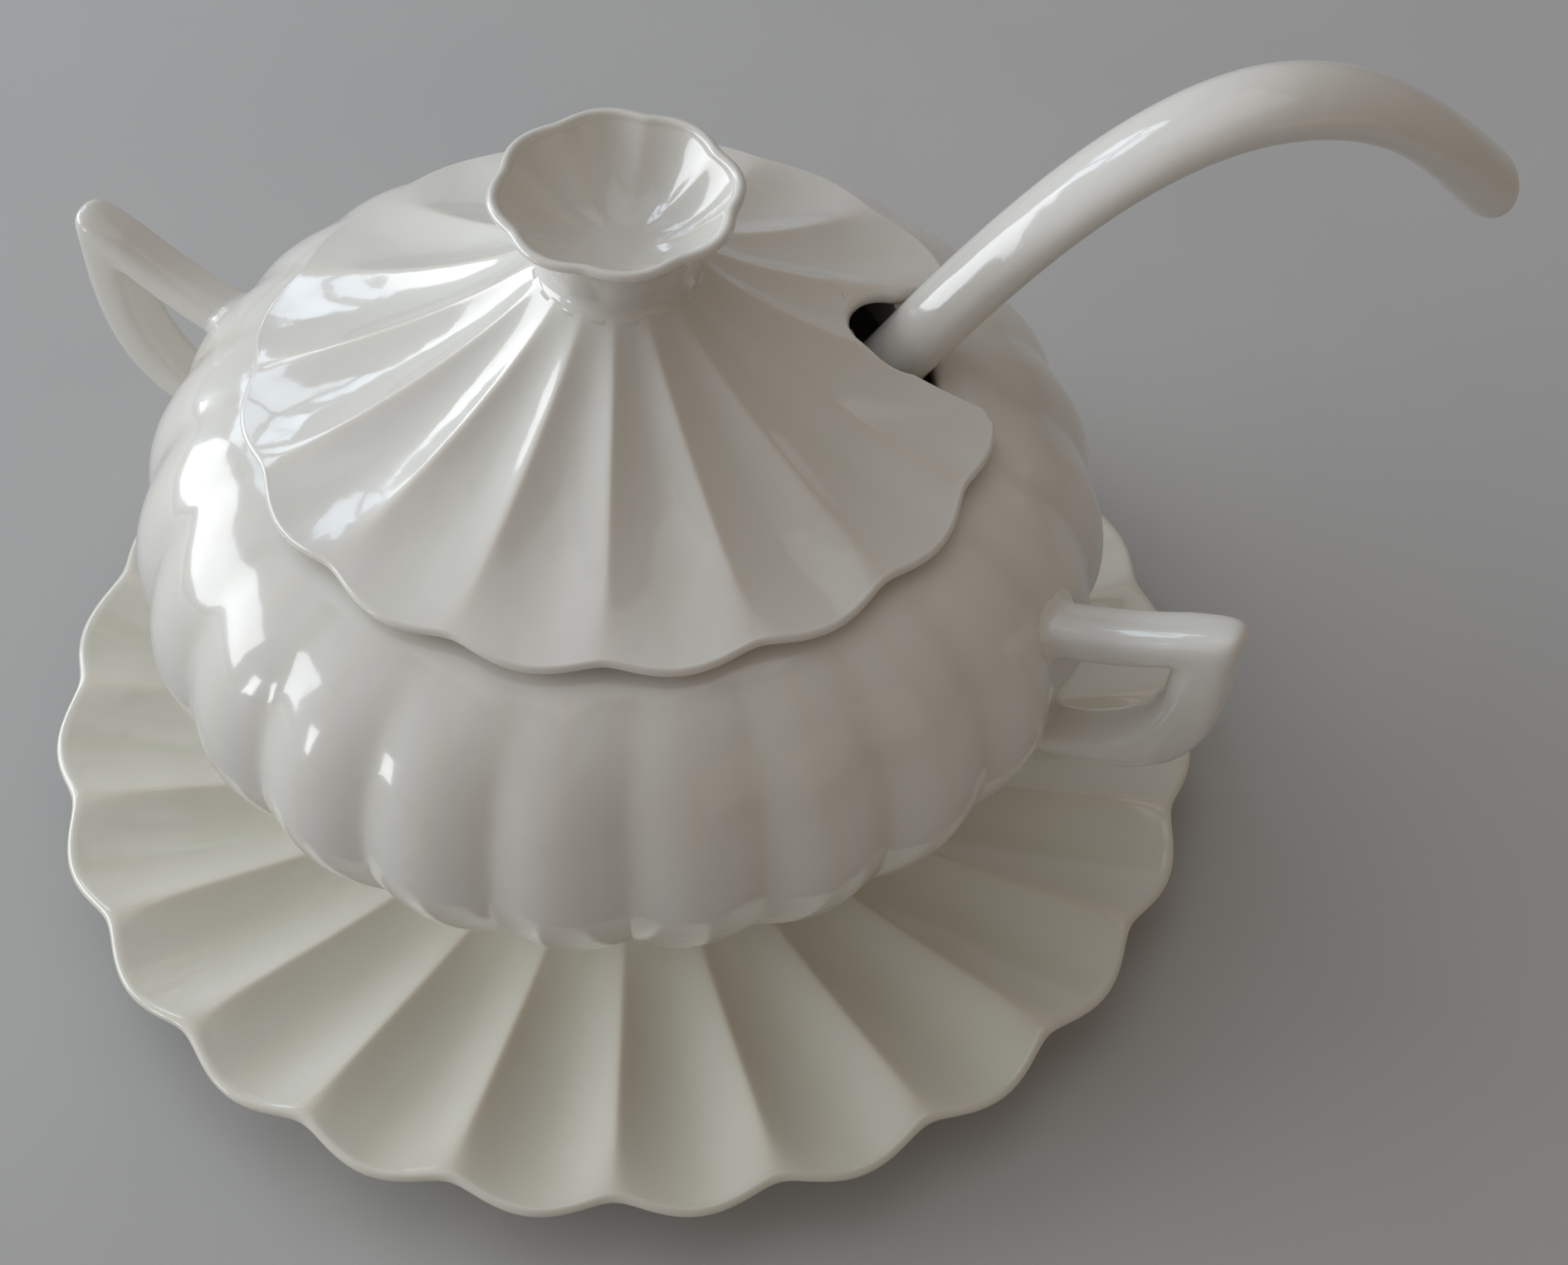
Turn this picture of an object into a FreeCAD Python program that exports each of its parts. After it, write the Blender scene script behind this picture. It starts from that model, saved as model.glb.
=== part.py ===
import FreeCAD, Part
import math
import os
import types

import Sketcher

# Covered soup tureen with its underplate and ladle, in fluted glazed earthenware.
# Millimetres, +Z up. The origin is the centre of the underplate's foot, on the table.
# The two handles lie along X; the ladle and the lid's notch lie at ladle_angle from +X.

SIZES = [
    # underplate
    ("plate_flutes", 24, "flutes round the underplate"),
    ("plate_turn", -3.9, "angle of one of its arrises from +X"),
    ("plate_radius", 153.6, "rim radius at an arris"),
    ("plate_lobe", 6.4, "how far a rim lobe stands out beyond the arrises"),
    ("plate_drop", 2.8, "how far a rim lobe lies below the arrises"),
    ("plate_depth", 17, "rim arris above the well"),
    ("plate_flute_depth", 3.4, "flute floor below its arrises, halfway out"),
    ("plate_wall", 5, "thickness of the plate"),
    ("plate_well_radius", 64, "flat round well that the bowl stands in"),
    ("plate_well_top", 9, "well above the table"),
    ("plate_foot_margin", 10, "plate's foot ring outside the well"),
    ("plate_foot_width", 7, "width of the plate's foot ring"),
    # bowl
    ("bowl_lobes", 24, "lobes round the bowl"),
    ("bowl_turn", -2, "angle of one of its grooves from +X"),
    ("bowl_height", 135, "bowl's rim above the well"),
    ("bowl_wall", 5, "thickness of the bowl"),
    ("belly_radius", 119.5, "groove radius at the widest level"),
    ("belly_lobe", 4, "how far a lobe stands out beyond its grooves"),
    ("belly_height", 89, "widest level above the well"),
    ("bowl_foot_margin", 12, "bowl's foot inside the edge of the well"),
    ("bowl_foot_height", 6, "height of the bowl's foot ring"),
    ("bowl_foot_width", 6, "width of the bowl's foot ring"),
    ("mouth_radius", 77, "inside of the bowl's rim"),
    ("mouth_depth", 7, "straight collar inside the rim"),
    ("rim_width", 7.5, "flat top of the bowl's rim"),
    # handles
    ("ear_span", 40.6, "outermost point of a handle beyond the belly"),
    ("ear_width", 13.5, "width of a handle"),
    ("ear_bar", 11.8, "height of a handle's upper bar"),
    ("ear_strap", 14.5, "thickness of a handle's outer strap"),
    ("ear_drop", 6, "outer corner of a handle below the bowl's rim"),
    ("ear_rise", 16.5, "how much the upper bar climbs towards its corner"),
    ("ear_height", 64, "handle from its corner down to its foot"),
    # lid
    ("lid_flutes", 16, "flutes round the lid"),
    ("lid_turn", 25.1, "angle of one of its ridges from +X"),
    ("lid_overhang", 2.6, "lid's ridges beyond the bowl's rim"),
    ("lid_lobe", 3.9, "how far a rim lobe stands out beyond the ridges"),
    ("lid_drop", 2, "how far a rim lobe lies below the ridges"),
    ("lid_lift", 6.6, "top of the lid's edge above the bowl's rim"),
    ("lid_rise", 35.4, "neck above the lid's edge"),
    ("lid_sag", 4, "how far the ridges sag below a straight cone"),
    ("lid_flute_depth", 3.6, "flute floor below its ridges, halfway up"),
    ("lid_wall", 4.5, "thickness of the lid"),
    ("flange_depth", 6, "locating ring below the bowl's rim"),
    ("flange_wall", 5, "thickness of the locating ring"),
    ("flange_gap", 0.7, "clearance of the locating ring in the mouth"),
    ("seat_margin", 1.5, "lid's flat seat inside the edge of the bowl's rim"),
    # notch and knob
    ("notch_turn", -2.2, "direction of the notch from the ladle's"),
    ("notch_back", 4.5, "notch's round end behind the ladle's handle"),
    ("notch_gap", 2.5, "clearance each side of the ladle's handle"),
    ("notch_flare", 12.5, "extra half width where the notch leaves the lid"),
    ("knob_lobes", 8, "lobes round the knob"),
    ("knob_turn", 12.9, "angle of one of its grooves from +X"),
    ("knob_neck_radius", 17, "neck of the knob"),
    ("knob_radius", 27, "rim radius of the knob at a groove"),
    ("knob_lobe", 2, "how far a knob lobe stands out beyond its grooves"),
    ("knob_height", 21, "height of the knob"),
    ("knob_wall", 2.8, "thickness of the knob's cup"),
    ("knob_floor", 6, "bottom of the cup above the neck's foot"),
    # ladle
    ("ladle_angle", 36.35, "direction of the ladle and notch from +X"),
    ("ladle_radius", 36, "outside of the ladle's bowl"),
    ("ladle_depth", 31, "height of the ladle's bowl"),
    ("ladle_wall", 3.6, "thickness of the ladle's bowl"),
    ("ladle_gap", 0.3, "ladle's bowl above the tureen's floor"),
    ("shaft_width", 22, "width of the ladle's handle"),
    ("shaft_thickness", 13.5, "thickness of the ladle's handle"),
    ("gate_inset", 3.5, "handle's centre line inside the mouth's edge, at the lid"),
    ("gate_rise", 7, "that point above the bowl's rim"),
    ("arch_reach", 82.5, "top of the handle's arch beyond that point"),
    ("arch_rise", 61.5, "and above it"),
    ("tip_reach", 55.8, "tip of the handle beyond the arch"),
    ("tip_drop", 28.8, "and below it"),
]

# Weights of a bar's corner points: an exact ellipse, and a squarer section.
OVAL = math.sqrt(0.5)
SQUARISH = 1.3

doc = FreeCAD.newDocument("SoupTureen")
sheet = doc.addObject("Spreadsheet::Sheet", "Sizes")
for row, (alias, value, meaning) in enumerate(SIZES, start=1):
    sheet.set(f"A{row}", alias)
    sheet.set(f"B{row}", str(value))
    sheet.set(f"C{row}", meaning)
    sheet.setAlias(f"B{row}", alias)
doc.recompute()
size = types.SimpleNamespace()
for alias, value, meaning in SIZES:
    setattr(size, alias, float(sheet.get(alias)))

# ---- levels and places that several pieces share --------------------------------------

well_z = size.plate_well_top
belly_z = well_z + size.belly_height
rim_z = well_z + size.bowl_height
floor_z = well_z + size.bowl_foot_height + size.bowl_wall
lid_z = rim_z + size.lid_lift
neck_z = lid_z + size.lid_rise
rim_radius = size.mouth_radius + size.rim_width
base_radius = size.plate_well_radius - size.bowl_foot_margin
gate = (size.mouth_radius - size.gate_inset, rim_z + size.gate_rise)


# ---- curved faces from control points -------------------------------------------------

def patch(net, weights):
    """A face from rows of control points: cubic along the rows' list, quadratic across."""
    surface = Part.BSplineSurface()
    along = len(net) - 1
    arcs = (len(net[0]) - 1) // 2
    across_knots = list(range(arcs + 1))
    across_mults = [3] + [2] * (arcs - 1) + [3]
    surface.buildFromPolesMultsKnots(
        net, [along + 1, along + 1], across_mults, [0, 1], across_knots,
        False, False, along, 2, [weights for _ in net])
    return surface


def closed_solid(faces):
    """Sews faces that share their borders into one solid."""
    shell = Part.makeShell(faces)
    shell.sewShape()
    solid = Part.makeSolid(shell)
    if solid.Volume < 0:
        solid.reverse()
    return solid


def cap(surfaces, end):
    """The flat face that closes one end of a ring of surfaces."""
    edges = [surface.uIso(end).toShape() for surface in surfaces]
    return Part.Face(Part.Wire(Part.__sortEdges__(edges)))


def turned(point, angle):
    """A point given as radius and height, turned about the axis."""
    radius, height = point
    return FreeCAD.Vector(radius * math.cos(angle), radius * math.sin(angle), height)


def fluted_solid(spans, count, turn):
    """A closed body of lobes. Each span is two cubic outlines, (radius, height) along the
    grooves and along the crowns; a circular arc joins groove, crown and next groove, so
    where both outlines agree the body is truly round."""
    half = math.pi / count
    weight = math.cos(half)
    faces = []
    first = []
    last = []
    for index in range(count):
        middle = math.radians(turn) + (2 * index + 1) * half
        for groove, crown in spans:
            net = []
            for (groove_r, groove_z), (crown_r, crown_z) in zip(groove, crown):
                pull_r = (crown_r * (1 + weight) - groove_r * weight) / weight
                pull_z = (crown_z * (1 + weight) - groove_z) / weight
                net.append([
                    turned((groove_r, groove_z), middle - half),
                    turned((pull_r, pull_z), middle),
                    turned((groove_r, groove_z), middle + half),
                ])
            surface = patch(net, [1, weight, 1])
            faces.append(surface.toShape())
            if groove is spans[0][0]:
                first.append(surface)
            if groove is spans[-1][0]:
                last.append(surface)
    faces.append(cap(first, 0))
    faces.append(cap(last, 1))
    return closed_solid(faces)


def bar_solid(spans, corner_weight):
    """A bent bar in the XZ plane. Each span gives four stations (outer, inner, width):
    the bar's two edges in the plane and its width across it."""
    faces = []
    first = []
    last = []
    for stations in spans:
        for side in (1, -1):
            net = []
            for outer, inner, width in stations:
                edge = FreeCAD.Vector(outer[0], 0, outer[1])
                back = FreeCAD.Vector(inner[0], 0, inner[1])
                out = FreeCAD.Vector(0, side * width / 2, 0)
                net.append([edge, edge + out, (edge + back) * 0.5 + out, back + out, back])
            surface = patch(net, [1, corner_weight, 1, corner_weight, 1])
            faces.append(surface.toShape())
            if stations is spans[0]:
                first.append(surface)
            if stations is spans[-1]:
                last.append(surface)
    faces.append(cap(first, 0))
    faces.append(cap(last, 1))
    return closed_solid(faces)


def lowered(points, amount):
    return [(radius, height - amount) for radius, height in points]


def swollen(points, lobe, shares):
    """An outline pushed outwards by a share of the lobe at each of its points."""
    return [(radius + lobe * share, height) for (radius, height), share in zip(points, shares)]


def lip(upper, lower, wall):
    """The half-round edge from an upper to a lower rim point."""
    reach = wall * 2 / 3
    return [upper, (upper[0] + reach, upper[1]), (lower[0] + reach, lower[1]), lower]


def rounded(outer, inner, wall):
    """The half-round top edge of an upright wall, from its outer to its inner point."""
    reach = wall * 2 / 3
    return [outer, (outer[0], outer[1] + reach), (inner[0], inner[1] + reach), inner]


def space_under(label, lines, wall, bottom, count, turn):
    """The space below a fluted cover of even thickness, down to a level, as a full body."""
    under = [lowered(line, wall) for line in lines]
    skirts = [straight(line[-1], (line[-1][0], bottom)) for line in under]
    return add_shape(label, fluted_solid([tuple(under), tuple(skirts)], int(count), turn))


def straight(start, end):
    """A straight outline as a cubic."""
    return [tuple(a + (b - a) * step / 3 for a, b in zip(start, end)) for step in range(4)]


def add_shape(label, shape):
    feature = doc.addObject("Part::Feature", label)
    feature.Label = label
    feature.Shape = shape
    return feature


def add_boolean(kind, label, base, tool):
    result = doc.addObject(kind, label)
    result.Label = label
    result.Base = base
    result.Tool = tool
    return result


# ---- sketched pieces ------------------------------------------------------------------

def closed_sketch(body, name, plane, points):
    """A closed outline of straight lines; every corner is two expressions on the sheet."""
    sketch = body.newObject("Sketcher::SketchObject", name)
    origin = [item for item in body.Origin.OriginFeatures if item.Role == plane][0]
    sketch.AttachmentSupport = [(origin, "")]
    sketch.MapMode = "FlatFace"
    count = len(points)
    start = [FreeCAD.Vector(10 + 20 * math.cos(2 * math.pi * i / count),
                            10 + 20 * math.sin(2 * math.pi * i / count), 0)
             for i in range(count)]
    for i in range(count):
        sketch.addGeometry(Part.LineSegment(start[i], start[(i + 1) % count]), False)
    for i in range(count):
        sketch.addConstraint(Sketcher.Constraint("Coincident", i, 2, (i + 1) % count, 1))
    for i, pair in enumerate(points):
        for kind, expression in zip(("DistanceX", "DistanceY"), pair):
            place = sketch.addConstraint(Sketcher.Constraint(kind, -1, 1, i, 1, 10.0))
            sketch.setExpression(f"Constraints[{place}]", expression)
    return sketch


def turned_body(label, points):
    """A body turned about the axis from a closed outline in the XZ plane."""
    body = doc.addObject("PartDesign::Body", label)
    body.Label = label
    sketch = closed_sketch(body, label + "_outline", "XZ_Plane", points)
    ring = body.newObject("PartDesign::Revolution", label + "_turned")
    ring.Profile = sketch
    ring.ReferenceAxis = (sketch, ["V_Axis"])
    ring.Angle = 360
    body.Tip = ring
    return body


def turned_ring(label, outside, width, bottom, top):
    """A foot ring with its two lower edges bevelled by 1."""
    inside = f"{outside} - {width}"
    return turned_body(label, [
        (inside + " + 1", bottom), (outside + " - 1", bottom), (outside, bottom + " + 1"),
        (outside, top), (inside, top), (inside, bottom + " + 1")])


# ---- underplate -----------------------------------------------------------------------

def plate_lines():
    """Arris and flute-floor outlines of the plate's top, from the well to the rim."""
    well = (size.plate_well_radius, well_z)
    run = size.plate_radius - well[0]
    edge = (size.plate_radius - size.plate_wall / 2, well_z + size.plate_depth)
    flat = 0.25 * run
    curl = 0.3 * size.plate_depth
    deep = size.plate_flute_depth
    arris = [well, (well[0] + flat, well_z), (well[0] + 0.68 * run, edge[1] - curl), edge]
    floor = [well, (well[0] + flat, well_z - 0.3 * deep),
             (well[0] + 0.72 * run, edge[1] - curl - 2 * deep),
             (edge[0] + size.plate_lobe, edge[1] - size.plate_drop)]
    return arris, floor


def fluted_sheet(lines, wall, count, turn):
    """A fluted plate or cover of even thickness with a rounded rim."""
    under = [lowered(line, wall)[::-1] for line in lines]
    lips = [lip(line[-1], (line[-1][0], line[-1][1] - wall), wall) for line in lines]
    return fluted_solid([lines, tuple(lips), tuple(under)], int(count), turn)


def make_plate():
    """The fluted dish: a flat well, flutes rising to a scalloped rim, and a rounded lip."""
    dish = fluted_sheet(plate_lines(), size.plate_wall, size.plate_flutes, size.plate_turn)
    return add_shape("underplate", dish)


def make_plate_foot():
    """The round foot ring, its top shaped to the plate's underside."""
    outside = "Sizes.plate_well_radius + Sizes.plate_foot_margin"
    ring = turned_ring("plate_foot_form", outside, "Sizes.plate_foot_width", "0",
                       "Sizes.plate_well_top + Sizes.plate_depth")
    space = space_under("plate_space", plate_lines(), size.plate_wall, -size.plate_wall,
                        size.plate_flutes, size.plate_turn)
    return add_boolean("Part::Common", "underplate_foot_ring", ring, space)


# ---- bowl -----------------------------------------------------------------------------

def belly(inset):
    """Groove and crown outlines of the belly, lower then upper, set in by a wall."""
    wide = size.belly_radius - inset
    foot = (base_radius - 0.4 * inset, well_z + size.bowl_foot_height + inset)
    mouth = (rim_radius, rim_z)
    if inset:
        mouth = (size.mouth_radius, rim_z - size.mouth_depth)
    drop = belly_z - foot[1]
    rise = rim_z - belly_z
    tuck = foot[0] + 0.54 * (wide - foot[0])
    shoulder = mouth[0] + 0.6 * (wide - mouth[0])
    lower = [foot, (tuck, foot[1] + 0.28 * drop), (wide, belly_z - 0.31 * drop),
             (wide, belly_z)]
    upper = [(wide, belly_z), (wide, belly_z + 0.46 * rise),
             (shoulder, mouth[1] - 0.08 * rise), mouth]
    lower_crown = swollen(lower, size.belly_lobe, (0, 0.75, 1, 1))
    upper_crown = swollen(upper, size.belly_lobe, (1, 1, 0.5, 0))
    return (lower, lower_crown), (upper, upper_crown)


def make_bowl():
    """The lobed bowl: an even wall, a flat floor inside and a plain collar at the mouth."""
    lower, upper = belly(0)
    inner_lower, inner_upper = belly(size.bowl_wall)
    rim_in = (size.mouth_radius, rim_z)
    top = straight(upper[0][-1], rim_in)
    collar = straight(rim_in, inner_upper[0][-1])
    spans = [lower, upper, (top, top), (collar, collar)]
    spans += [tuple(line[::-1] for line in pair) for pair in (inner_upper, inner_lower)]
    return add_shape("tureen_bowl", fluted_solid(spans, int(size.bowl_lobes), size.bowl_turn))


def make_bowl_form():
    """The bowl's outside as a full body, which the handles' ends are cut to fit."""
    form = fluted_solid(belly(0), int(size.bowl_lobes), size.bowl_turn)
    return add_shape("bowl_form", form)


def make_bowl_foot():
    """The round foot ring that stands in the underplate's well."""
    outside = "Sizes.plate_well_radius - Sizes.bowl_foot_margin"
    return turned_ring("bowl_foot_ring", outside, "Sizes.bowl_foot_width",
                       "Sizes.plate_well_top", "Sizes.plate_well_top + Sizes.bowl_foot_height")


# ---- handles --------------------------------------------------------------------------

def ear_lines():
    """Pairs of outer and inner outlines of a handle: bar, corner, strap and foot."""
    reach = size.belly_radius + size.ear_span
    top = rim_z - size.ear_drop
    rise = size.ear_rise
    low = top - rise
    foot = top - size.ear_height
    middle = (low + foot) / 2
    turn_in = reach - size.ear_strap
    hole_top = top - 0.2 * rise - size.ear_bar
    buried = size.belly_radius - 20
    bar_out = [(buried, low - 2), (buried + 17, low - 0.5), (turn_in - 13, top - 0.64 * rise),
               (turn_in, top - 0.2 * rise)]
    bar_in = [(r - 0.5, z - size.ear_bar) for r, z in bar_out]
    corner_out = [bar_out[-1], (turn_in + 13, top + 2.4), (reach + 1.2, top + 3.5),
                  (reach + 0.6, top - 6)]
    corner_in = [bar_in[-1], (turn_in + 0.5, hole_top + 0.3), (turn_in + 0.2, hole_top - 2),
                 (turn_in, hole_top - 9)]
    strap_out = [corner_out[-1], (reach + 1.1, middle + 14), (reach + 1.2, middle - 10.7),
                 (reach - 20, foot + 6)]
    strap_in = [corner_in[-1], (turn_in - 0.5, middle + 6), (turn_in - 6.5, middle - 4),
                (turn_in - 18, foot + 12)]
    foot_out = [strap_out[-1], (reach - 33, foot + 1.7), (buried + 18, foot),
                (buried, foot - 2)]
    foot_in = [strap_in[-1], (turn_in - 25, foot + 8), (buried + 15, foot + 8.5),
               (buried, foot + 11)]
    return (bar_out, bar_in), (corner_out, corner_in), (strap_out, strap_in), (foot_out, foot_in)


def make_ear(label, angle, bowl_form):
    """One D-shaped handle: a rising bar, a full outer corner and a strap that curves back
    to the belly, its ends cut to the bowl's outside."""
    spans = []
    for outer, inner in ear_lines():
        spans.append([(edge, back, size.ear_width) for edge, back in zip(outer, inner)])
    form = add_shape(label + "_form", bar_solid(spans, SQUARISH))
    form.Placement = FreeCAD.Placement(FreeCAD.Vector(0, 0, 0),
                                       FreeCAD.Rotation(FreeCAD.Vector(0, 0, 1), angle))
    return add_boolean("Part::Cut", label, form, bowl_form)


# ---- lid ------------------------------------------------------------------------------

def lid_lines():
    """Ridge and flute-floor outlines of the lid's top, from the neck to the rim."""
    neck = (size.knob_neck_radius + 1, neck_z)
    edge = (rim_radius + size.lid_overhang - size.lid_wall / 2, lid_z)
    run = edge[0] - neck[0]
    sag = size.lid_sag * 4 / 3
    deep = size.lid_flute_depth * 4 / 3
    ridge = [neck, (neck[0] + 0.27 * run, neck_z - 0.27 * size.lid_rise - sag),
             (neck[0] + 0.64 * run, neck_z - 0.64 * size.lid_rise - sag), edge]
    floor = [neck, (ridge[1][0], ridge[1][1] - deep), (ridge[2][0] + 2, ridge[2][1] - deep),
             (edge[0] + size.lid_lobe, lid_z - size.lid_drop)]
    return ridge, floor


def make_notch():
    """A full-height cutter for the ladle's notch: round at its inner end, wider outwards."""
    depth = "2 * Sizes.flange_depth"
    height = "Sizes.lid_lift + Sizes.lid_rise + " + depth
    radius = "Sizes.shaft_width / 2 + Sizes.notch_gap"
    round_end = doc.addObject("Part::Cylinder", "notch_round")
    round_end.setExpression("Radius", radius)
    round_end.setExpression("Height", height)
    flare = doc.addObject("Part::Wedge", "notch_flare")
    wide = f"({radius} + Sizes.notch_flare)"
    past = "Sizes.rim_width + Sizes.lid_overhang + 2 * Sizes.lid_lobe"
    sides = {"Xmin": f"-({radius})", "Xmax": radius, "X2min": "-" + wide, "X2max": wide,
             "Ymin": "0", "Ymax": f"Sizes.gate_inset + Sizes.notch_back + {past}",
             "Zmin": "0", "Z2min": "0", "Zmax": height, "Z2max": height}
    for side, expression in sides.items():
        flare.setExpression(side, expression)
    middle = gate[0] - size.notch_back
    angle = size.ladle_angle + size.notch_turn
    way = math.radians(angle)
    place = FreeCAD.Placement(
        FreeCAD.Vector(middle * math.cos(way), middle * math.sin(way),
                       rim_z - 2 * size.flange_depth),
        FreeCAD.Rotation(FreeCAD.Vector(0, 0, 1), angle - 90))
    round_end.Placement = place
    flare.Placement = place
    return add_boolean("Part::Fuse", "notch_form", round_end, flare)


def make_lid_cover(notch):
    """The fluted lid: ridges, hollow flutes, a rounded rim and the ladle's notch."""
    cone = fluted_sheet(lid_lines(), size.lid_wall, size.lid_flutes, size.lid_turn)
    return add_boolean("Part::Cut", "lid_cover", add_shape("lid_form", cone), notch)


def make_flange(notch):
    """The lid's locating ring: it hangs in the mouth, its shoulder rests on the bowl's rim,
    and its top is shaped to the lid's underside."""
    outside = "Sizes.mouth_radius - Sizes.flange_gap"
    inside = outside + " - Sizes.flange_wall"
    seat = "Sizes.mouth_radius + Sizes.rim_width - Sizes.seat_margin"
    rim = "Sizes.plate_well_top + Sizes.bowl_height"
    bottom = rim + " - Sizes.flange_depth"
    top = rim + " + Sizes.lid_lift + Sizes.lid_rise"
    form = turned_body("flange_form", [(inside, bottom), (outside, bottom), (outside, rim),
                                       (seat, rim), (seat, top), (inside, top)])
    space = space_under("lid_space", lid_lines(), size.lid_wall, belly_z, size.lid_flutes,
                        size.lid_turn)
    whole = add_boolean("Part::Common", "flange_whole", form, space)
    return add_boolean("Part::Cut", "lid_flange", whole, notch)


def make_knob():
    """The flared, lobed cup on top of the lid, hollow above and round at its neck."""
    wall = size.knob_wall
    neck = size.knob_neck_radius
    rim = size.knob_radius
    top = neck_z + size.knob_height - wall / 2
    tall = top - neck_z
    floor = neck_z + size.knob_floor
    outer = [(neck, neck_z), (neck - 1, neck_z + 0.3 * tall), (rim - 6, neck_z + 0.66 * tall),
             (rim, top)]
    inner = [(rim - wall, top), (rim - 6 - wall, floor + 0.5 * (top - floor)),
             (0.4 * rim, floor), (0.15 * rim, floor)]
    outer_crown = swollen(outer, size.knob_lobe, (0, 0.4, 0.9, 1))
    inner_crown = swollen(inner, size.knob_lobe, (1, 0.9, 0.5, 0))
    edge = rounded(outer[-1], inner[0], wall)
    edge_crown = rounded(outer_crown[-1], inner_crown[0], wall)
    spans = [(outer, outer_crown), (edge, edge_crown), (inner, inner_crown)]
    return add_shape("lid_knob", fluted_solid(spans, int(size.knob_lobes), size.knob_turn))


# ---- ladle ----------------------------------------------------------------------------

def shaft_line():
    """The handle's centre line as three cubic spans: up through the notch, over, and down."""
    root = (-size.ladle_wall / 2, floor_z + size.ladle_gap + size.ladle_depth - 4)
    arch = (gate[0] + size.arch_reach, gate[1] + size.arch_rise)
    tip = (arch[0] + size.tip_reach, arch[1] - size.tip_drop)
    run = gate[0] - root[0]
    climb = gate[1] - root[1]
    lean = (0.31 * run, 0.29 * climb)
    rise = [root, (root[0] + 0.27 * run, root[1] + 0.31 * climb),
            (gate[0] - lean[0], gate[1] - lean[1]), gate]
    over = [gate, (gate[0] + 0.93 * lean[0], gate[1] + 0.93 * lean[1]),
            (arch[0] - 0.39 * size.arch_reach, arch[1]), arch]
    down = [arch, (arch[0] + 0.46 * size.tip_reach, arch[1]),
            (tip[0] - 0.27 * size.tip_reach, tip[1] + 0.46 * size.tip_drop), tip]
    return rise, over, down


def unit(a, b):
    length = math.hypot(b[0] - a[0], b[1] - a[1])
    return ((b[0] - a[0]) / length, (b[1] - a[1]) / length)


def station(point, way, half, width):
    """The bar's two edges square to its way at a point of the centre line, and its width."""
    return ((point[0] - way[1] * half, point[1] + way[0] * half),
            (point[0] + way[1] * half, point[1] - way[0] * half), width)


def shaft_stations():
    """The handle's spans: thinner at its root, full at the arch, and a blunt rounded tip."""
    thick = size.shaft_thickness
    halves = [(0.42, 0.48), (0.48, 0.53), (0.53, 0.57)]
    widths = [(0.85, 0.95), (0.95, 1.05), (1.05, 1.1)]
    spans = []
    for line, half, width in zip(shaft_line(), halves, widths):
        ways = [unit(line[0], line[1])] * 2 + [unit(line[2], line[3])] * 2
        spans.append([station(point, way, half[end] * thick, width[end] * size.shaft_width)
                      for point, way, end in zip(line, ways, (0, 0, 1, 1))])
    tip = shaft_line()[-1][-1]
    way = unit(shaft_line()[-1][2], tip)
    blunt = []
    for ahead, share in ((0, 1), (0.25, 1), (0.38, 0.93), (0.38, 0.6)):
        point = (tip[0] + way[0] * ahead * thick, tip[1] + way[1] * ahead * thick)
        blunt.append(station(point, way, halves[-1][1] * thick * share,
                             widths[-1][1] * size.shaft_width * share))
    return spans + [blunt]


def half_ellipsoid(label, inset):
    """The lower half of a round bowl's form, its flat top at the ladle's rim."""
    form = doc.addObject("Part::Ellipsoid", label)
    form.setExpression("Radius1", "Sizes.ladle_depth" + inset)
    form.setExpression("Radius2", "Sizes.ladle_radius" + inset)
    form.setExpression("Radius3", "Sizes.ladle_radius" + inset)
    form.Angle1 = -90
    form.Angle2 = 0
    way = math.radians(size.ladle_angle)
    form.Placement.Base = FreeCAD.Vector(
        -size.ladle_radius * math.cos(way), -size.ladle_radius * math.sin(way),
        floor_z + size.ladle_gap + size.ladle_depth)
    return form


def make_ladle_bowl(outside):
    """The ladle's round bowl with a rounded rim; its edge crosses the tureen's axis."""
    inside = half_ellipsoid("ladle_inside", " - Sizes.ladle_wall")
    shell = add_boolean("Part::Cut", "ladle_shell", outside, inside)
    doc.recompute()
    rim = doc.addObject("Part::Fillet", "ladle_bowl")
    rim.Base = shell
    radius = 0.45 * size.ladle_wall
    top = shell.Shape.BoundBox.ZMax
    rim.Edges = [(number, radius, radius)
                 for number, edge in enumerate(shell.Shape.Edges, start=1)
                 if edge.BoundBox.ZMin > top - 0.01]
    return rim


def make_shaft(outside):
    """The ladle's handle, an oval bar luted to the outside of the ladle's bowl."""
    form = add_shape("shaft_form", bar_solid(shaft_stations(), OVAL))
    form.Placement = FreeCAD.Placement(
        FreeCAD.Vector(0, 0, 0), FreeCAD.Rotation(FreeCAD.Vector(0, 0, 1), size.ladle_angle))
    return add_boolean("Part::Cut", "ladle_handle", form, outside)


# ---- the pieces -----------------------------------------------------------------------

bowl_form = make_bowl_form()
notch = make_notch()
ladle_outside = half_ellipsoid("ladle_outside", "")
PIECES = [
    make_plate(),
    make_plate_foot(),
    make_bowl(),
    make_bowl_foot(),
    make_ear("handle_right", 0, bowl_form),
    make_ear("handle_left", 180, bowl_form),
    make_lid_cover(notch),
    make_flange(notch),
    make_knob(),
    make_ladle_bowl(ladle_outside),
    make_shaft(ladle_outside),
]

# ---- checks and files -----------------------------------------------------------------

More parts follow.
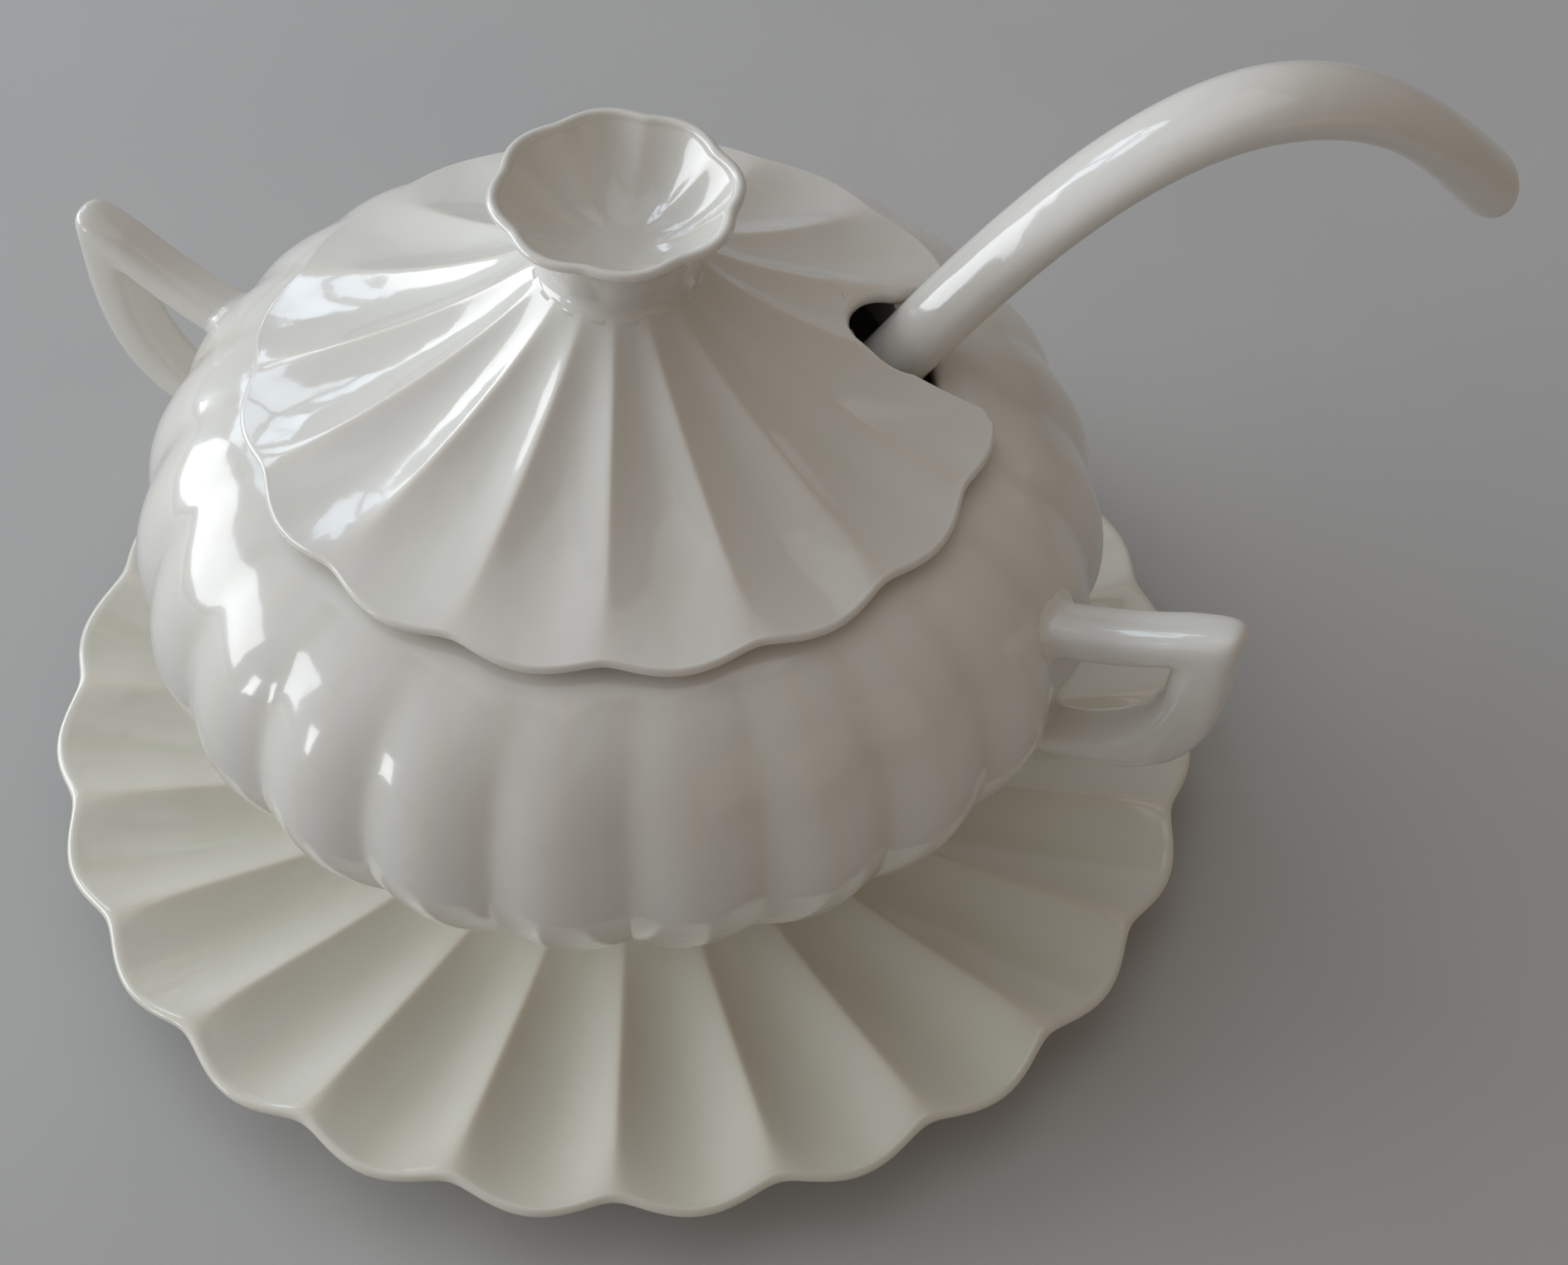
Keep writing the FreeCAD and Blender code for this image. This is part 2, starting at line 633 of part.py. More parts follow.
doc.recompute()
for item in doc.Objects:
    if "Invalid" in item.State or "Error" in item.State:
        raise RuntimeError(f"{item.Label} did not recompute: {item.State}")
for piece in PIECES:
    if piece.Shape.isNull() or not piece.Shape.isValid():
        raise RuntimeError(f"{piece.Label} has no valid shape")
    if len(piece.Shape.Solids) != 1:
        raise RuntimeError(f"{piece.Label} is {len(piece.Shape.Solids)} solids, not one")
os.makedirs("parts", exist_ok=True)
for piece in PIECES:
    piece.Shape.exportStep(f"parts/{piece.Label}.step")
    box = piece.Shape.BoundBox
    print(piece.Label, round(piece.Shape.Volume / 1000, 1), "cm3",
          [round(v, 1) for v in (box.XMin, box.YMin, box.ZMin, box.XMax, box.YMax, box.ZMax)])
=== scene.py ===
import math

import bmesh
import bpy
import numpy as np
from mathutils import Matrix, Vector


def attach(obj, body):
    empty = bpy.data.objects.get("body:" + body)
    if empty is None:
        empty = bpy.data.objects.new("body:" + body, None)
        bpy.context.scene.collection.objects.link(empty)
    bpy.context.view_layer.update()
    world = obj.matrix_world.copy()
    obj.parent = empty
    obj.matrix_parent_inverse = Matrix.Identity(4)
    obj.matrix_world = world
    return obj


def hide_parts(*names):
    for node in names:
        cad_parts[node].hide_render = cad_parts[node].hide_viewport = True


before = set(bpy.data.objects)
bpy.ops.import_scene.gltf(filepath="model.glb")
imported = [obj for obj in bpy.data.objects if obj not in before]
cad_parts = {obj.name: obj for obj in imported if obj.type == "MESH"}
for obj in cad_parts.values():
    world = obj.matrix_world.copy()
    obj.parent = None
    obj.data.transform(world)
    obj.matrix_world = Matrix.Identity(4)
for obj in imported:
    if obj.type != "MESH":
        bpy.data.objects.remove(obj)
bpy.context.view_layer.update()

# Covered soup tureen with its underplate and ladle, in fluted, glazed earthenware.
# Lengths below are millimetres in the CAD frame; meshes are made in metres.

MM = 0.001

# ---- sizes, as in the CAD source --------------------------------------------------------

PLATE_FLUTES = 24
PLATE_TURN = -3.9
PLATE_RADIUS = 153.6
PLATE_LOBE = 6.4
PLATE_DROP = 2.8
PLATE_DEPTH = 17
PLATE_FLUTE_DEPTH = 3.4
PLATE_WALL = 5
PLATE_LIP = 3.4
WELL_RADIUS = 64
WELL_Z = 9

BOWL_LOBES = 24
BOWL_TURN = -2
BOWL_HEIGHT = 135
BOWL_WALL = 5
BELLY_RADIUS = 119.5
BELLY_LOBE = 4
BELLY_HEIGHT = 89
FOOT_MARGIN = 12
FOOT_HEIGHT = 6
MOUTH_RADIUS = 77
MOUTH_DEPTH = 7
RIM_WIDTH = 7.5

EAR_SPAN = 40.6
EAR_WIDTH = 13.5
EAR_BAR = 11.8
EAR_STRAP = 14.5
EAR_DROP = 6
EAR_RISE = 16.5
EAR_HEIGHT = 64
EAR_FILLET = 3

LID_FLUTES = 16
LID_TURN = 25.1
LID_OVERHANG = 2.6
LID_LOBE = 3.9
LID_DROP = 2
LID_LIFT = 6.6
LID_RISE = 35.4
LID_SAG = 4
LID_FLUTE_DEPTH = 3.6
LID_WALL = 4.5
LID_LIP = 2.7

NOTCH_TURN = -2.2
NOTCH_BACK = 4.5
NOTCH_GAP = 2.5
NOTCH_FLARE = 12.5
KNOB_LOBES = 8
KNOB_TURN = 12.9
NECK_RADIUS = 17
KNOB_RADIUS = 27
KNOB_LOBE = 2
KNOB_HEIGHT = 21
KNOB_WALL = 2.8
KNOB_FLOOR = 6

LADLE_ANGLE = 36.35
LADLE_RADIUS = 36
LADLE_DEPTH = 31
LADLE_WALL = 3.6
LADLE_GAP = 0.3
SHAFT_WIDTH = 22
SHAFT_THICKNESS = 13.5
GATE_INSET = 3.5
GATE_RISE = 7
ARCH_REACH = 82.5
ARCH_RISE = 61.5
TIP_REACH = 55.8
TIP_DROP = 28.8

BELLY_Z = WELL_Z + BELLY_HEIGHT
RIM_Z = WELL_Z + BOWL_HEIGHT
FLOOR_Z = WELL_Z + FOOT_HEIGHT + BOWL_WALL
LID_Z = RIM_Z + LID_LIFT
NECK_Z = LID_Z + LID_RISE
RIM_RADIUS = MOUTH_RADIUS + RIM_WIDTH
BASE_RADIUS = WELL_RADIUS - FOOT_MARGIN
GATE = (MOUTH_RADIUS - GATE_INSET, RIM_Z + GATE_RISE)
OVAL = math.sqrt(0.5)
SQUARISH = 1.3


# ---- outlines and grids -------------------------------------------------------------------

def bezier(points, t):
    """Points of a cubic outline at the parameters t, as rows of (radius, height)."""
    a, b, c, d = (np.array(p, dtype=float) for p in points)
    t = np.asarray(t, dtype=float)[:, None]
    u = 1 - t
    return a * u**3 + 3 * b * u * u * t + 3 * c * u * t * t + d * t**3


def swollen(points, lobe, shares):
    return [(radius + lobe * share, height) for (radius, height), share in zip(points, shares)]


def arc_points(groove, crown, count, share):
    """Radius and height across a lobe, from groove (share 0) over the crown (0.5) to the next
    groove (1), for each row of the two outlines: a circular arc between the three points."""
    half = math.pi / count
    weight = math.cos(half)
    pull = (crown * (1 + weight) - groove * [weight, 1]) / weight
    s = np.asarray(share, dtype=float)
    first, middle, last = (1 - s) ** 2, 2 * s * (1 - s) * weight, s * s
    total = first + middle + last
    along = (groove[:, :1] * weight * (first + last) + pull[:, :1] * middle) / total
    across = groove[:, :1] * math.sin(half) * (last - first) / total
    height = (groove[:, 1:] * (first + last) + pull[:, 1:] * middle) / total
    return np.hypot(along, across), height, np.arctan2(across, along)


def softened(groove, crown, count, share, soft):
    """The same arc with its cusp at the groove line rounded by about soft, in mm."""
    width = 2 * math.pi / count * np.maximum(groove[:, :1], 1.0)
    near = np.minimum(share, 1 - np.asarray(share, dtype=float))[None, :]
    ease = (soft[:, None] / width) * (1 - (2 * near) ** 2) ** 2
    radius, height, _ = arc_points(groove, crown, count, np.sqrt(near**2 + ease**2))
    angle = arc_points(groove, crown, count, share)[2]
    return radius, height, angle


HALF_LOBE = (0, 0.012, 0.026, 0.042, 0.06, 0.082, 0.11, 0.145, 0.19, 0.245, 0.31, 0.375, 0.44)
LOBE_SHARES = np.array(HALF_LOBE + (0.5,) + tuple(1 - s for s in HALF_LOBE[:0:-1]))


def fluted_grid(rows, count, turn):
    """Vertices (row, column, xyz) round the axis for rows of (groove, crown, soft), and how
    far each vertex is from a groove line, 0 to 1."""
    groove = np.array([row[0] for row in rows], dtype=float)
    crown = np.array([row[1] for row in rows], dtype=float)
    soft = np.array([row[2] for row in rows], dtype=float)
    radius, height, angle = softened(groove, crown, count, LOBE_SHARES, soft)
    middles = math.radians(turn) + (2 * np.arange(count) + 1) * math.pi / count
    angle = (angle[:, None, :] + middles[None, :, None]).reshape(len(rows), -1)
    radius = np.tile(radius, (1, count))
    height = np.tile(height, (1, count))
    grid = np.stack([radius * np.cos(angle), radius * np.sin(angle), height], axis=2)
    near = np.tile(np.minimum(LOBE_SHARES, 1 - LOBE_SHARES) * 2, count)
    return grid, np.broadcast_to(near, radius.shape)


def span_rows(groove, crown, steps, soft_from, soft_to, last=False):
    """Rows of one span, without its end unless it's the last."""
    t = np.linspace(0, 1, steps + 1)
    if not last:
        t = t[:-1]
    softs = soft_from + (soft_to - soft_from) * t
    return list(zip(bezier(groove, t), bezier(crown, t), softs))


def round_rows(points, soft=0.0):
    """Rows that are the same at groove and crown."""
    return [(np.array(p, dtype=float), np.array(p, dtype=float), soft) for p in points]


def quarter(start, corner, end, steps=6):
    """Points of a rounded corner, from start by way of corner to end."""
    made = []
    for t in np.linspace(0, 1, steps + 1):
        made.append(tuple(a * (1 - t) ** 2 + 2 * b * t * (1 - t) + c * t * t
                          for a, b, c in zip(start, corner, end)))
    return made


# ---- meshes ---------------------------------------------------------------------------------

def quads(rows, columns, wrap_columns=True, wrap_rows=False):
    """Faces of a grid of vertices, given by number."""
    faces = []
    last_row = rows if wrap_rows else rows - 1
    last_column = columns if wrap_columns else columns - 1
    for i in range(last_row):
        low = i * columns
        high = ((i + 1) % rows) * columns
        for j in range(last_column):
            k = (j + 1) % columns
            faces.append((low + j, low + k, high + k, high + j))
    return faces


def make_piece(name, parts, body, nodes, material, smooth_weld=0.02):
    """One closed mesh from grids of vertices in mm. Each part is (vertices, faces, glaze and
    shade map); the map says how thick the glaze lies and how much painted shade darkens
    grooves and hollows, 0 to 1, and is kept as a vertex attribute."""
    vertices = []
    faces = []
    pool_and_shade_values = []
    for points, part_faces, glaze_pool_and_shade in parts:
        start = sum(len(v) for v in vertices)
        vertices.append(points.reshape(-1, 3))
        pool_and_shade_values.append(np.asarray(glaze_pool_and_shade, dtype=float).reshape(-1))
        faces += [tuple(start + i for i in face) for face in part_faces]
    mesh = bpy.data.meshes.new(name)
    mesh.from_pydata((np.concatenate(vertices) * MM).tolist(), [], faces)
    layer = mesh.attributes.new("glaze_pool_and_shade", "FLOAT", "POINT")
    layer.data.foreach_set("value", np.concatenate(pool_and_shade_values).astype(np.float32))
    shape = bmesh.new()
    shape.from_mesh(mesh)
    bmesh.ops.remove_doubles(shape, verts=shape.verts, dist=smooth_weld * MM)
    bmesh.ops.dissolve_degenerate(shape, dist=1e-7, edges=shape.edges)
    bmesh.ops.recalc_face_normals(shape, faces=shape.faces)
    shape.to_mesh(mesh)
    shape.free()
    mesh.shade_smooth()
    piece = bpy.data.objects.new(name, mesh)
    bpy.context.scene.collection.objects.link(piece)
    piece.data.materials.append(material)
    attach(piece, body)
    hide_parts(*nodes)
    return piece


# ---- materials --------------------------------------------------------------------------------

def new_material(name):
    material = bpy.data.materials.new(name)
    material.use_nodes = True
    nodes = material.node_tree.nodes
    links = material.node_tree.links
    return material, nodes, links, nodes["Principled BSDF"]


def noise(nodes, links, place, scale, detail, roughness=0.5):
    made = nodes.new("ShaderNodeTexNoise")
    made.inputs["Scale"].default_value = scale
    made.inputs["Detail"].default_value = detail
    made.inputs["Roughness"].default_value = roughness
    links.new(place.outputs["Object"], made.inputs["Vector"])
    return made


def ramp(nodes, links, source, stops):
    made = nodes.new("ShaderNodeValToRGB")
    while len(made.color_ramp.elements) < len(stops):
        made.color_ramp.elements.new(0.5)
    for element, (position, colour) in zip(made.color_ramp.elements, stops):
        element.position = position
        element.color = (*colour, 1)
    links.new(source, made.inputs["Fac"])
    return made


def mixed(nodes, links, factor, first, second, blend="MIX"):
    """A colour mix; each of the three inputs is a socket or a plain value."""
    made = nodes.new("ShaderNodeMix")
    made.data_type = "RGBA"
    made.blend_type = blend
    for socket, value in ((made.inputs[0], factor), (made.inputs[6], first),
                          (made.inputs[7], second)):
        if isinstance(value, bpy.types.NodeSocket):
            links.new(value, socket)
        elif isinstance(value, tuple):
            socket.default_value = (*value, 1)
        else:
            socket.default_value = value
    return made.outputs[2]


def glaze(name, thin, body_colour, pooled_and_shaded, clouds=0.5):
    """Glossy white glaze: thinner and warmer on arrises, deeper and darker where it pools in
    grooves and flute hollows, a darkening that is partly painted shade; faintly cloudy, with a
    slow ripple, fine orange peel and a few pinprick iron specks."""
    material, nodes, links, shader = new_material(name)
    place = nodes.new("ShaderNodeTexCoord")
    glaze_pool_and_shade = nodes.new("ShaderNodeAttribute")
    glaze_pool_and_shade.attribute_name = "glaze_pool_and_shade"
    # darker pooled colour in grooves and hollows: thicker glaze plus painted shade
    depth_and_shade = ramp(nodes, links, glaze_pool_and_shade.outputs["Fac"],
                 [(0.0, thin), (0.22, body_colour), (0.6, body_colour), (1.0, pooled_and_shaded)])
    cloud = noise(nodes, links, place, 22, 3)
    veil = ramp(nodes, links, cloud.outputs["Fac"],
                [(0.35, (1, 1, 1)), (0.65, (0.955, 0.95, 0.93))])
    toned = mixed(nodes, links, clouds, depth_and_shade.outputs["Color"], veil.outputs["Color"],
                  "MULTIPLY")
    cells = nodes.new("ShaderNodeTexVoronoi")
    cells.inputs["Scale"].default_value = 95
    links.new(place.outputs["Object"], cells.inputs["Vector"])
    speck = ramp(nodes, links, cells.outputs["Distance"],
                 [(0.018, (1, 1, 1)), (0.034, (0, 0, 0))])
    chance = nodes.new("ShaderNodeMath")
    chance.operation = "GREATER_THAN"
    chance.inputs[1].default_value = 0.93
    links.new(cells.outputs["Color"], chance.inputs[0])
    rare = nodes.new("ShaderNodeMath")
    rare.operation = "MULTIPLY"
    links.new(speck.outputs["Color"], rare.inputs[0])
    links.new(chance.outputs[0], rare.inputs[1])
    colour = mixed(nodes, links, rare.outputs[0], toned, (0.36, 0.27, 0.18))
    links.new(colour, shader.inputs["Base Color"])

    smear = noise(nodes, links, place, 55, 2)
    gloss = nodes.new("ShaderNodeMapRange")
    gloss.inputs["From Min"].default_value = 0.3
    gloss.inputs["From Max"].default_value = 0.7
    gloss.inputs["To Min"].default_value = 0.10
    gloss.inputs["To Max"].default_value = 0.19
    links.new(smear.outputs["Fac"], gloss.inputs["Value"])
    links.new(gloss.outputs["Result"], shader.inputs["Roughness"])
    shader.inputs["IOR"].default_value = 1.52
    shader.inputs["Coat Weight"].default_value = 0.55
    shader.inputs["Coat Roughness"].default_value = 0.035
    shader.inputs["Coat IOR"].default_value = 1.5

    ripple = noise(nodes, links, place, 48, 2, 0.45)
    peel = noise(nodes, links, place, 420, 2)
    slow = nodes.new("ShaderNodeBump")
    slow.inputs["Strength"].default_value = 0.55
    slow.inputs["Distance"].default_value = 0.0011
    links.new(ripple.outputs["Fac"], slow.inputs["Height"])
    fine = nodes.new("ShaderNodeBump")
    fine.inputs["Strength"].default_value = 0.12
    fine.inputs["Distance"].default_value = 0.00012
    links.new(peel.outputs["Fac"], fine.inputs["Height"])
    links.new(slow.outputs["Normal"], fine.inputs["Normal"])
    links.new(fine.outputs["Normal"], shader.inputs["Normal"])
    links.new(fine.outputs["Normal"], shader.inputs["Coat Normal"])
    return material


def biscuit():
    """Unglazed clay of the foot rings: matt, pale buff, sandy, a little scuffed."""
    material, nodes, links, shader = new_material("bare_biscuit")
    place = nodes.new("ShaderNodeTexCoord")
    sand = noise(nodes, links, place, 700, 5, 0.65)
    grains = ramp(nodes, links, sand.outputs["Fac"],
                  [(0.3, (0.60, 0.51, 0.39)), (0.55, (0.72, 0.65, 0.53)),
                   (0.75, (0.78, 0.72, 0.61))])
    scuffs = noise(nodes, links, place, 60, 4)
    dirt = ramp(nodes, links, scuffs.outputs["Fac"],
                [(0.38, (0.82, 0.78, 0.72)), (0.6, (1, 1, 1))])
    links.new(mixed(nodes, links, 0.7, grains.outputs["Color"], dirt.outputs["Color"],
                    "MULTIPLY"), shader.inputs["Base Color"])
    shader.inputs["Roughness"].default_value = 0.86
    bump = nodes.new("ShaderNodeBump")
    bump.inputs["Strength"].default_value = 0.5
    bump.inputs["Distance"].default_value = 0.0002
    links.new(sand.outputs["Fac"], bump.inputs["Height"])
    links.new(bump.outputs["Normal"], shader.inputs["Normal"])
    return material


PLATE_GLAZE = glaze("underplate_glaze", (0.80, 0.75, 0.65), (0.79, 0.77, 0.685),
                    (0.765, 0.755, 0.65))
BOWL_GLAZE = glaze("tureen_glaze", (0.82, 0.775, 0.70), (0.81, 0.785, 0.73),
                   (0.77, 0.74, 0.67))
LID_GLAZE = glaze("lid_glaze", (0.82, 0.77, 0.69), (0.81, 0.785, 0.73),
                  (0.79, 0.77, 0.70))
LADLE_GLAZE = glaze("ladle_glaze", (0.81, 0.76, 0.69), (0.80, 0.77, 0.71),
                    (0.78, 0.75, 0.68))
BISCUIT = biscuit()


# ---- underplate ---------------------------------------------------------------------------------

def plate_lines():
    well = (WELL_RADIUS, WELL_Z)
    run = PLATE_RADIUS - well[0]
    edge = (PLATE_RADIUS - PLATE_LIP / 2, WELL_Z + PLATE_DEPTH)
    flat = 0.25 * run
    curl = 0.3 * PLATE_DEPTH
    deep = PLATE_FLUTE_DEPTH
    arris = [well, (well[0] + flat, WELL_Z), (well[0] + 0.68 * run, edge[1] - curl), edge]
    floor = [well, (well[0] + flat, WELL_Z - 0.3 * deep),
             (well[0] + 0.72 * run, edge[1] - curl - 2 * deep),
             (edge[0] + PLATE_LOBE, edge[1] - PLATE_DROP)]
    return arris, floor


def lip_line(point, lip):
    """The half-round edge, lip mm thick, below a rim point."""
    reach = lip * 2 / 3
    radius, height = point
    return [point, (radius + reach, height), (radius + reach, height - lip),
            (radius, height - lip)]


def thinned(t, wall, lip):
    """Thickness of a sheet at its outline's parameters: it thins to its lip."""
    return wall - (wall - lip) * np.clip((t - 0.6) / 0.4, 0, 1) ** 2


def sheet_rows(lines, wall, lip, steps, softs):
    """Rows of a fluted sheet: its top from the middle outwards, its lip, its underside."""
    arris, floor = lines
    inner, outer = softs
    rows = span_rows(arris, floor, steps, inner, outer)
    rows += span_rows(lip_line(arris[-1], lip), lip_line(floor[-1], lip), 10, outer, outer)
    t = np.linspace(1, 0, steps // 2 + 1)
    down = np.stack([np.zeros(len(t)), thinned(t, wall, lip)], axis=1)
    rows += list(zip(bezier(arris, t) - down, bezier(floor, t) - down,
                     inner + (outer - inner) * t))
    return rows


def flared(rows, start, end, extra):
    """Widens the softening of rows whose groove radius passes from start to end."""
    made = []
    for groove, crown, soft in rows:
        share = min(max((groove[0] - start) / (end - start), 0), 1)
        made.append((groove, crown, soft + extra * share**3))
    return made


WELL_ROUNDS = (0, 20, 45, 58)
PLATE_SOFTS = (0.8, 1.1)
PLATE_FLARE_FROM = 128
PLATE_RIM_SOFT = 3.0


def make_plate():
    under = WELL_Z - PLATE_WALL
    sheet = sheet_rows(plate_lines(), PLATE_WALL, PLATE_LIP, 56, PLATE_SOFTS)
    rows = round_rows([(radius, WELL_Z) for radius in WELL_ROUNDS])
    rows += flared(sheet, PLATE_FLARE_FROM, PLATE_RADIUS, PLATE_RIM_SOFT)
    rows += round_rows([(radius, under) for radius in WELL_ROUNDS[::-1]])
    grid, near = fluted_grid(rows, PLATE_FLUTES, PLATE_TURN)
    # glaze pooling and painted shade: darker down each flute's hollow, thin glaze on the arrises and
    # lip
    glaze_pool_and_shade = near.copy()
    lip = np.array([row[0][0] > PLATE_RADIUS - PLATE_LIP / 2 + 0.2 for row in rows])
    glaze_pool_and_shade[lip] = 0.12
    glaze_pool_and_shade[:len(WELL_ROUNDS)] = 0.5
    return make_piece("underplate_dish",
                      [(grid, quads(len(rows), grid.shape[1]), glaze_pool_and_shade)],
                      "underplate", ["underplate"], PLATE_GLAZE)


# ---- bowl -------------------------------------------------------------------------------------

def belly(inset):
    wide = BELLY_RADIUS - inset
    foot = (BASE_RADIUS - 0.4 * inset, WELL_Z + FOOT_HEIGHT + inset)
    mouth = (RIM_RADIUS, RIM_Z)
    if inset:
        mouth = (MOUTH_RADIUS, RIM_Z - MOUTH_DEPTH)
    drop = BELLY_Z - foot[1]
    rise = RIM_Z - BELLY_Z
    tuck = foot[0] + 0.54 * (wide - foot[0])
    shoulder = mouth[0] + 0.6 * (wide - mouth[0])
    lower = [foot, (tuck, foot[1] + 0.28 * drop), (wide, BELLY_Z - 0.31 * drop),
             (wide, BELLY_Z)]
    upper = [(wide, BELLY_Z), (wide, BELLY_Z + 0.46 * rise),
             (shoulder, mouth[1] - 0.08 * rise), mouth]
    lower_crown = swollen(lower, BELLY_LOBE, (0, 0.75, 1, 1))
    upper_crown = swollen(upper, BELLY_LOBE, (1, 1, 0.5, 0))
    return (lower, lower_crown), (upper, upper_crown)


BOWL_SOFT = 1.6
BOWL_RIM_SOFT = 3.5
INSIDE_SOFT = 2.0
INSIDE_RIM_SOFT = 3.0


def make_bowl():
    lower, upper = belly(0)
    inner_lower, inner_upper = belly(BOWL_WALL)
    bottom = lower[0][0]
    rows = round_rows([(0, bottom[1]), (bottom[0] * 0.5, bottom[1]), (bottom[0] - 3, bottom[1])])
    rows += span_rows(*lower, 40, BOWL_SOFT, BOWL_SOFT)
    rows += span_rows(*upper, 40, BOWL_SOFT, BOWL_RIM_SOFT)
    rows += round_rows([(RIM_RADIUS, RIM_Z), (RIM_RADIUS - 2, RIM_Z), (RIM_RADIUS - 4, RIM_Z)])
    rows += round_rows(quarter((MOUTH_RADIUS + 2.4, RIM_Z), (MOUTH_RADIUS, RIM_Z),
                               (MOUTH_RADIUS, RIM_Z - 2.4), 8))
    rows += round_rows([(MOUTH_RADIUS, RIM_Z - 4.5)])
    rows += span_rows(inner_upper[0][::-1], inner_upper[1][::-1], 24,
                      INSIDE_RIM_SOFT, INSIDE_SOFT)
    rows += span_rows(inner_lower[0][::-1], inner_lower[1][::-1], 24,
                      INSIDE_SOFT, INSIDE_SOFT, last=True)
    floor = inner_lower[0][0]
    rows += round_rows([(floor[0] - 3, floor[1]), (floor[0] * 0.5, floor[1]), (0, floor[1])])
    grid, near = fluted_grid(rows, BOWL_LOBES, BOWL_TURN)
    # glaze pooling and painted shade: darker along the grooves between the lobes, thin glaze on the
    # crowns and rim
    glaze_pool_and_shade = 1 - near
    rim = np.array([row[0][1] > RIM_Z - 2 for row in rows])
    glaze_pool_and_shade[rim] = 0.3
    glaze_pool_and_shade[:3] = 0.5
    glaze_pool_and_shade[-3:] = 0.5
    return make_piece("tureen_body", [(grid, quads(len(rows), grid.shape[1]), glaze_pool_and_shade)],
                      "tureen", ["tureen_bowl"], BOWL_GLAZE)


# ---- bent bars: the handles and the ladle's shaft -----------------------------------------------

def bar_grid(stations, corner_weight, across_steps=10):
    """Vertices round a bar in the XZ plane from stations (edge, back, width)."""
    grid = []
    t = np.linspace(0, 1, across_steps, endpoint=False)[:, None]
    parts = ((1 - t) ** 2, 2 * t * (1 - t) * corner_weight, t * t)
    total = sum(parts)
    for edge, back, width in stations:
        edge = np.array([edge[0], 0, edge[1]])
        back = np.array([back[0], 0, back[1]])
        out = np.array([0, width / 2, 0])
        middle = (edge + back) / 2
        ring = [edge, edge + out, middle + out, back + out, back, back - out, middle - out,
                edge - out, edge]
        loops = [(parts[0] * ring[k] + parts[1] * ring[k + 1] + parts[2] * ring[k + 2]) / total
                 for k in (0, 2, 4, 6)]
        grid.append(np.concatenate(loops))
    return np.array(grid)


def closed_bar(grid):
    """The bar's grid with a middle point added beyond each end."""
    ends = [np.repeat(grid[i].mean(axis=0)[None, :], grid.shape[1], axis=0) for i in (0, -1)]
    return np.concatenate([ends[0][None], grid, ends[1][None]])


def rotated(points, degrees):
    way = math.radians(degrees)
    turn = np.array([[math.cos(way), math.sin(way), 0], [-math.sin(way), math.cos(way), 0],
                     [0, 0, 1]])
    return points @ turn


def ear_lines():
    reach = BELLY_RADIUS + EAR_SPAN
    top = RIM_Z - EAR_DROP
    rise = EAR_RISE
    low = top - rise
    foot = top - EAR_HEIGHT
    middle = (low + foot) / 2
    turn_in = reach - EAR_STRAP
    hole_top = top - 0.2 * rise - EAR_BAR
    buried = BELLY_RADIUS - 20
    bar_out = [(buried, low - 2), (buried + 17, low - 0.5), (turn_in - 13, top - 0.64 * rise),
               (turn_in, top - 0.2 * rise)]
    bar_in = [(r - 0.5, z - EAR_BAR) for r, z in bar_out]
    corner_out = [bar_out[-1], (turn_in + 13, top + 2.4), (reach + 1.2, top + 3.5),
                  (reach + 0.6, top - 6)]
    corner_in = [bar_in[-1], (turn_in + 0.5, hole_top + 0.3), (turn_in + 0.2, hole_top - 2),
                 (turn_in, hole_top - 9)]
    strap_out = [corner_out[-1], (reach + 1.1, middle + 14), (reach + 1.2, middle - 10.7),
                 (reach - 20, foot + 6)]
    strap_in = [corner_in[-1], (turn_in - 0.5, middle + 6), (turn_in - 6.5, middle - 4),
                (turn_in - 18, foot + 12)]
    foot_out = [strap_out[-1], (reach - 33, foot + 1.7), (buried + 18, foot),
                (buried, foot - 2)]
    foot_in = [strap_in[-1], (turn_in - 25, foot + 8), (buried + 15, foot + 8.5),
               (buried, foot + 11)]
    return (bar_out, bar_in), (corner_out, corner_in), (strap_out, strap_in), (foot_out, foot_in)


def belly_radius_at(height, turn):
    """Radius of the bowl's outside at heights and at angles from +X, lobes included."""
    t = np.linspace(0, 1, 80)
    groove, crown = (np.concatenate([bezier(line, t) for line in pair])
                     for pair in zip(*belly(0)))
    low = np.interp(height, groove[:, 1], groove[:, 0])
    high = np.interp(height, crown[:, 1], crown[:, 0])
    half = math.pi / BOWL_LOBES
    share = np.mod(turn - math.radians(BOWL_TURN), 2 * half) / (2 * half)
    near = np.hypot(np.minimum(share, 1 - share), 0.05)
    chord = low * math.cos(half) / np.cos((share - 0.5) * 2 * half)
    return chord + (high - low * math.cos(half)) * 4 * near * (1 - near)


def clearance(grid):
    """How far each vertex of a handle at +X stands out from the belly."""
    radius = np.hypot(grid[..., 0], grid[..., 1])
    turn = np.arctan2(grid[..., 1], grid[..., 0])
    return radius - belly_radius_at(grid[..., 2], turn)


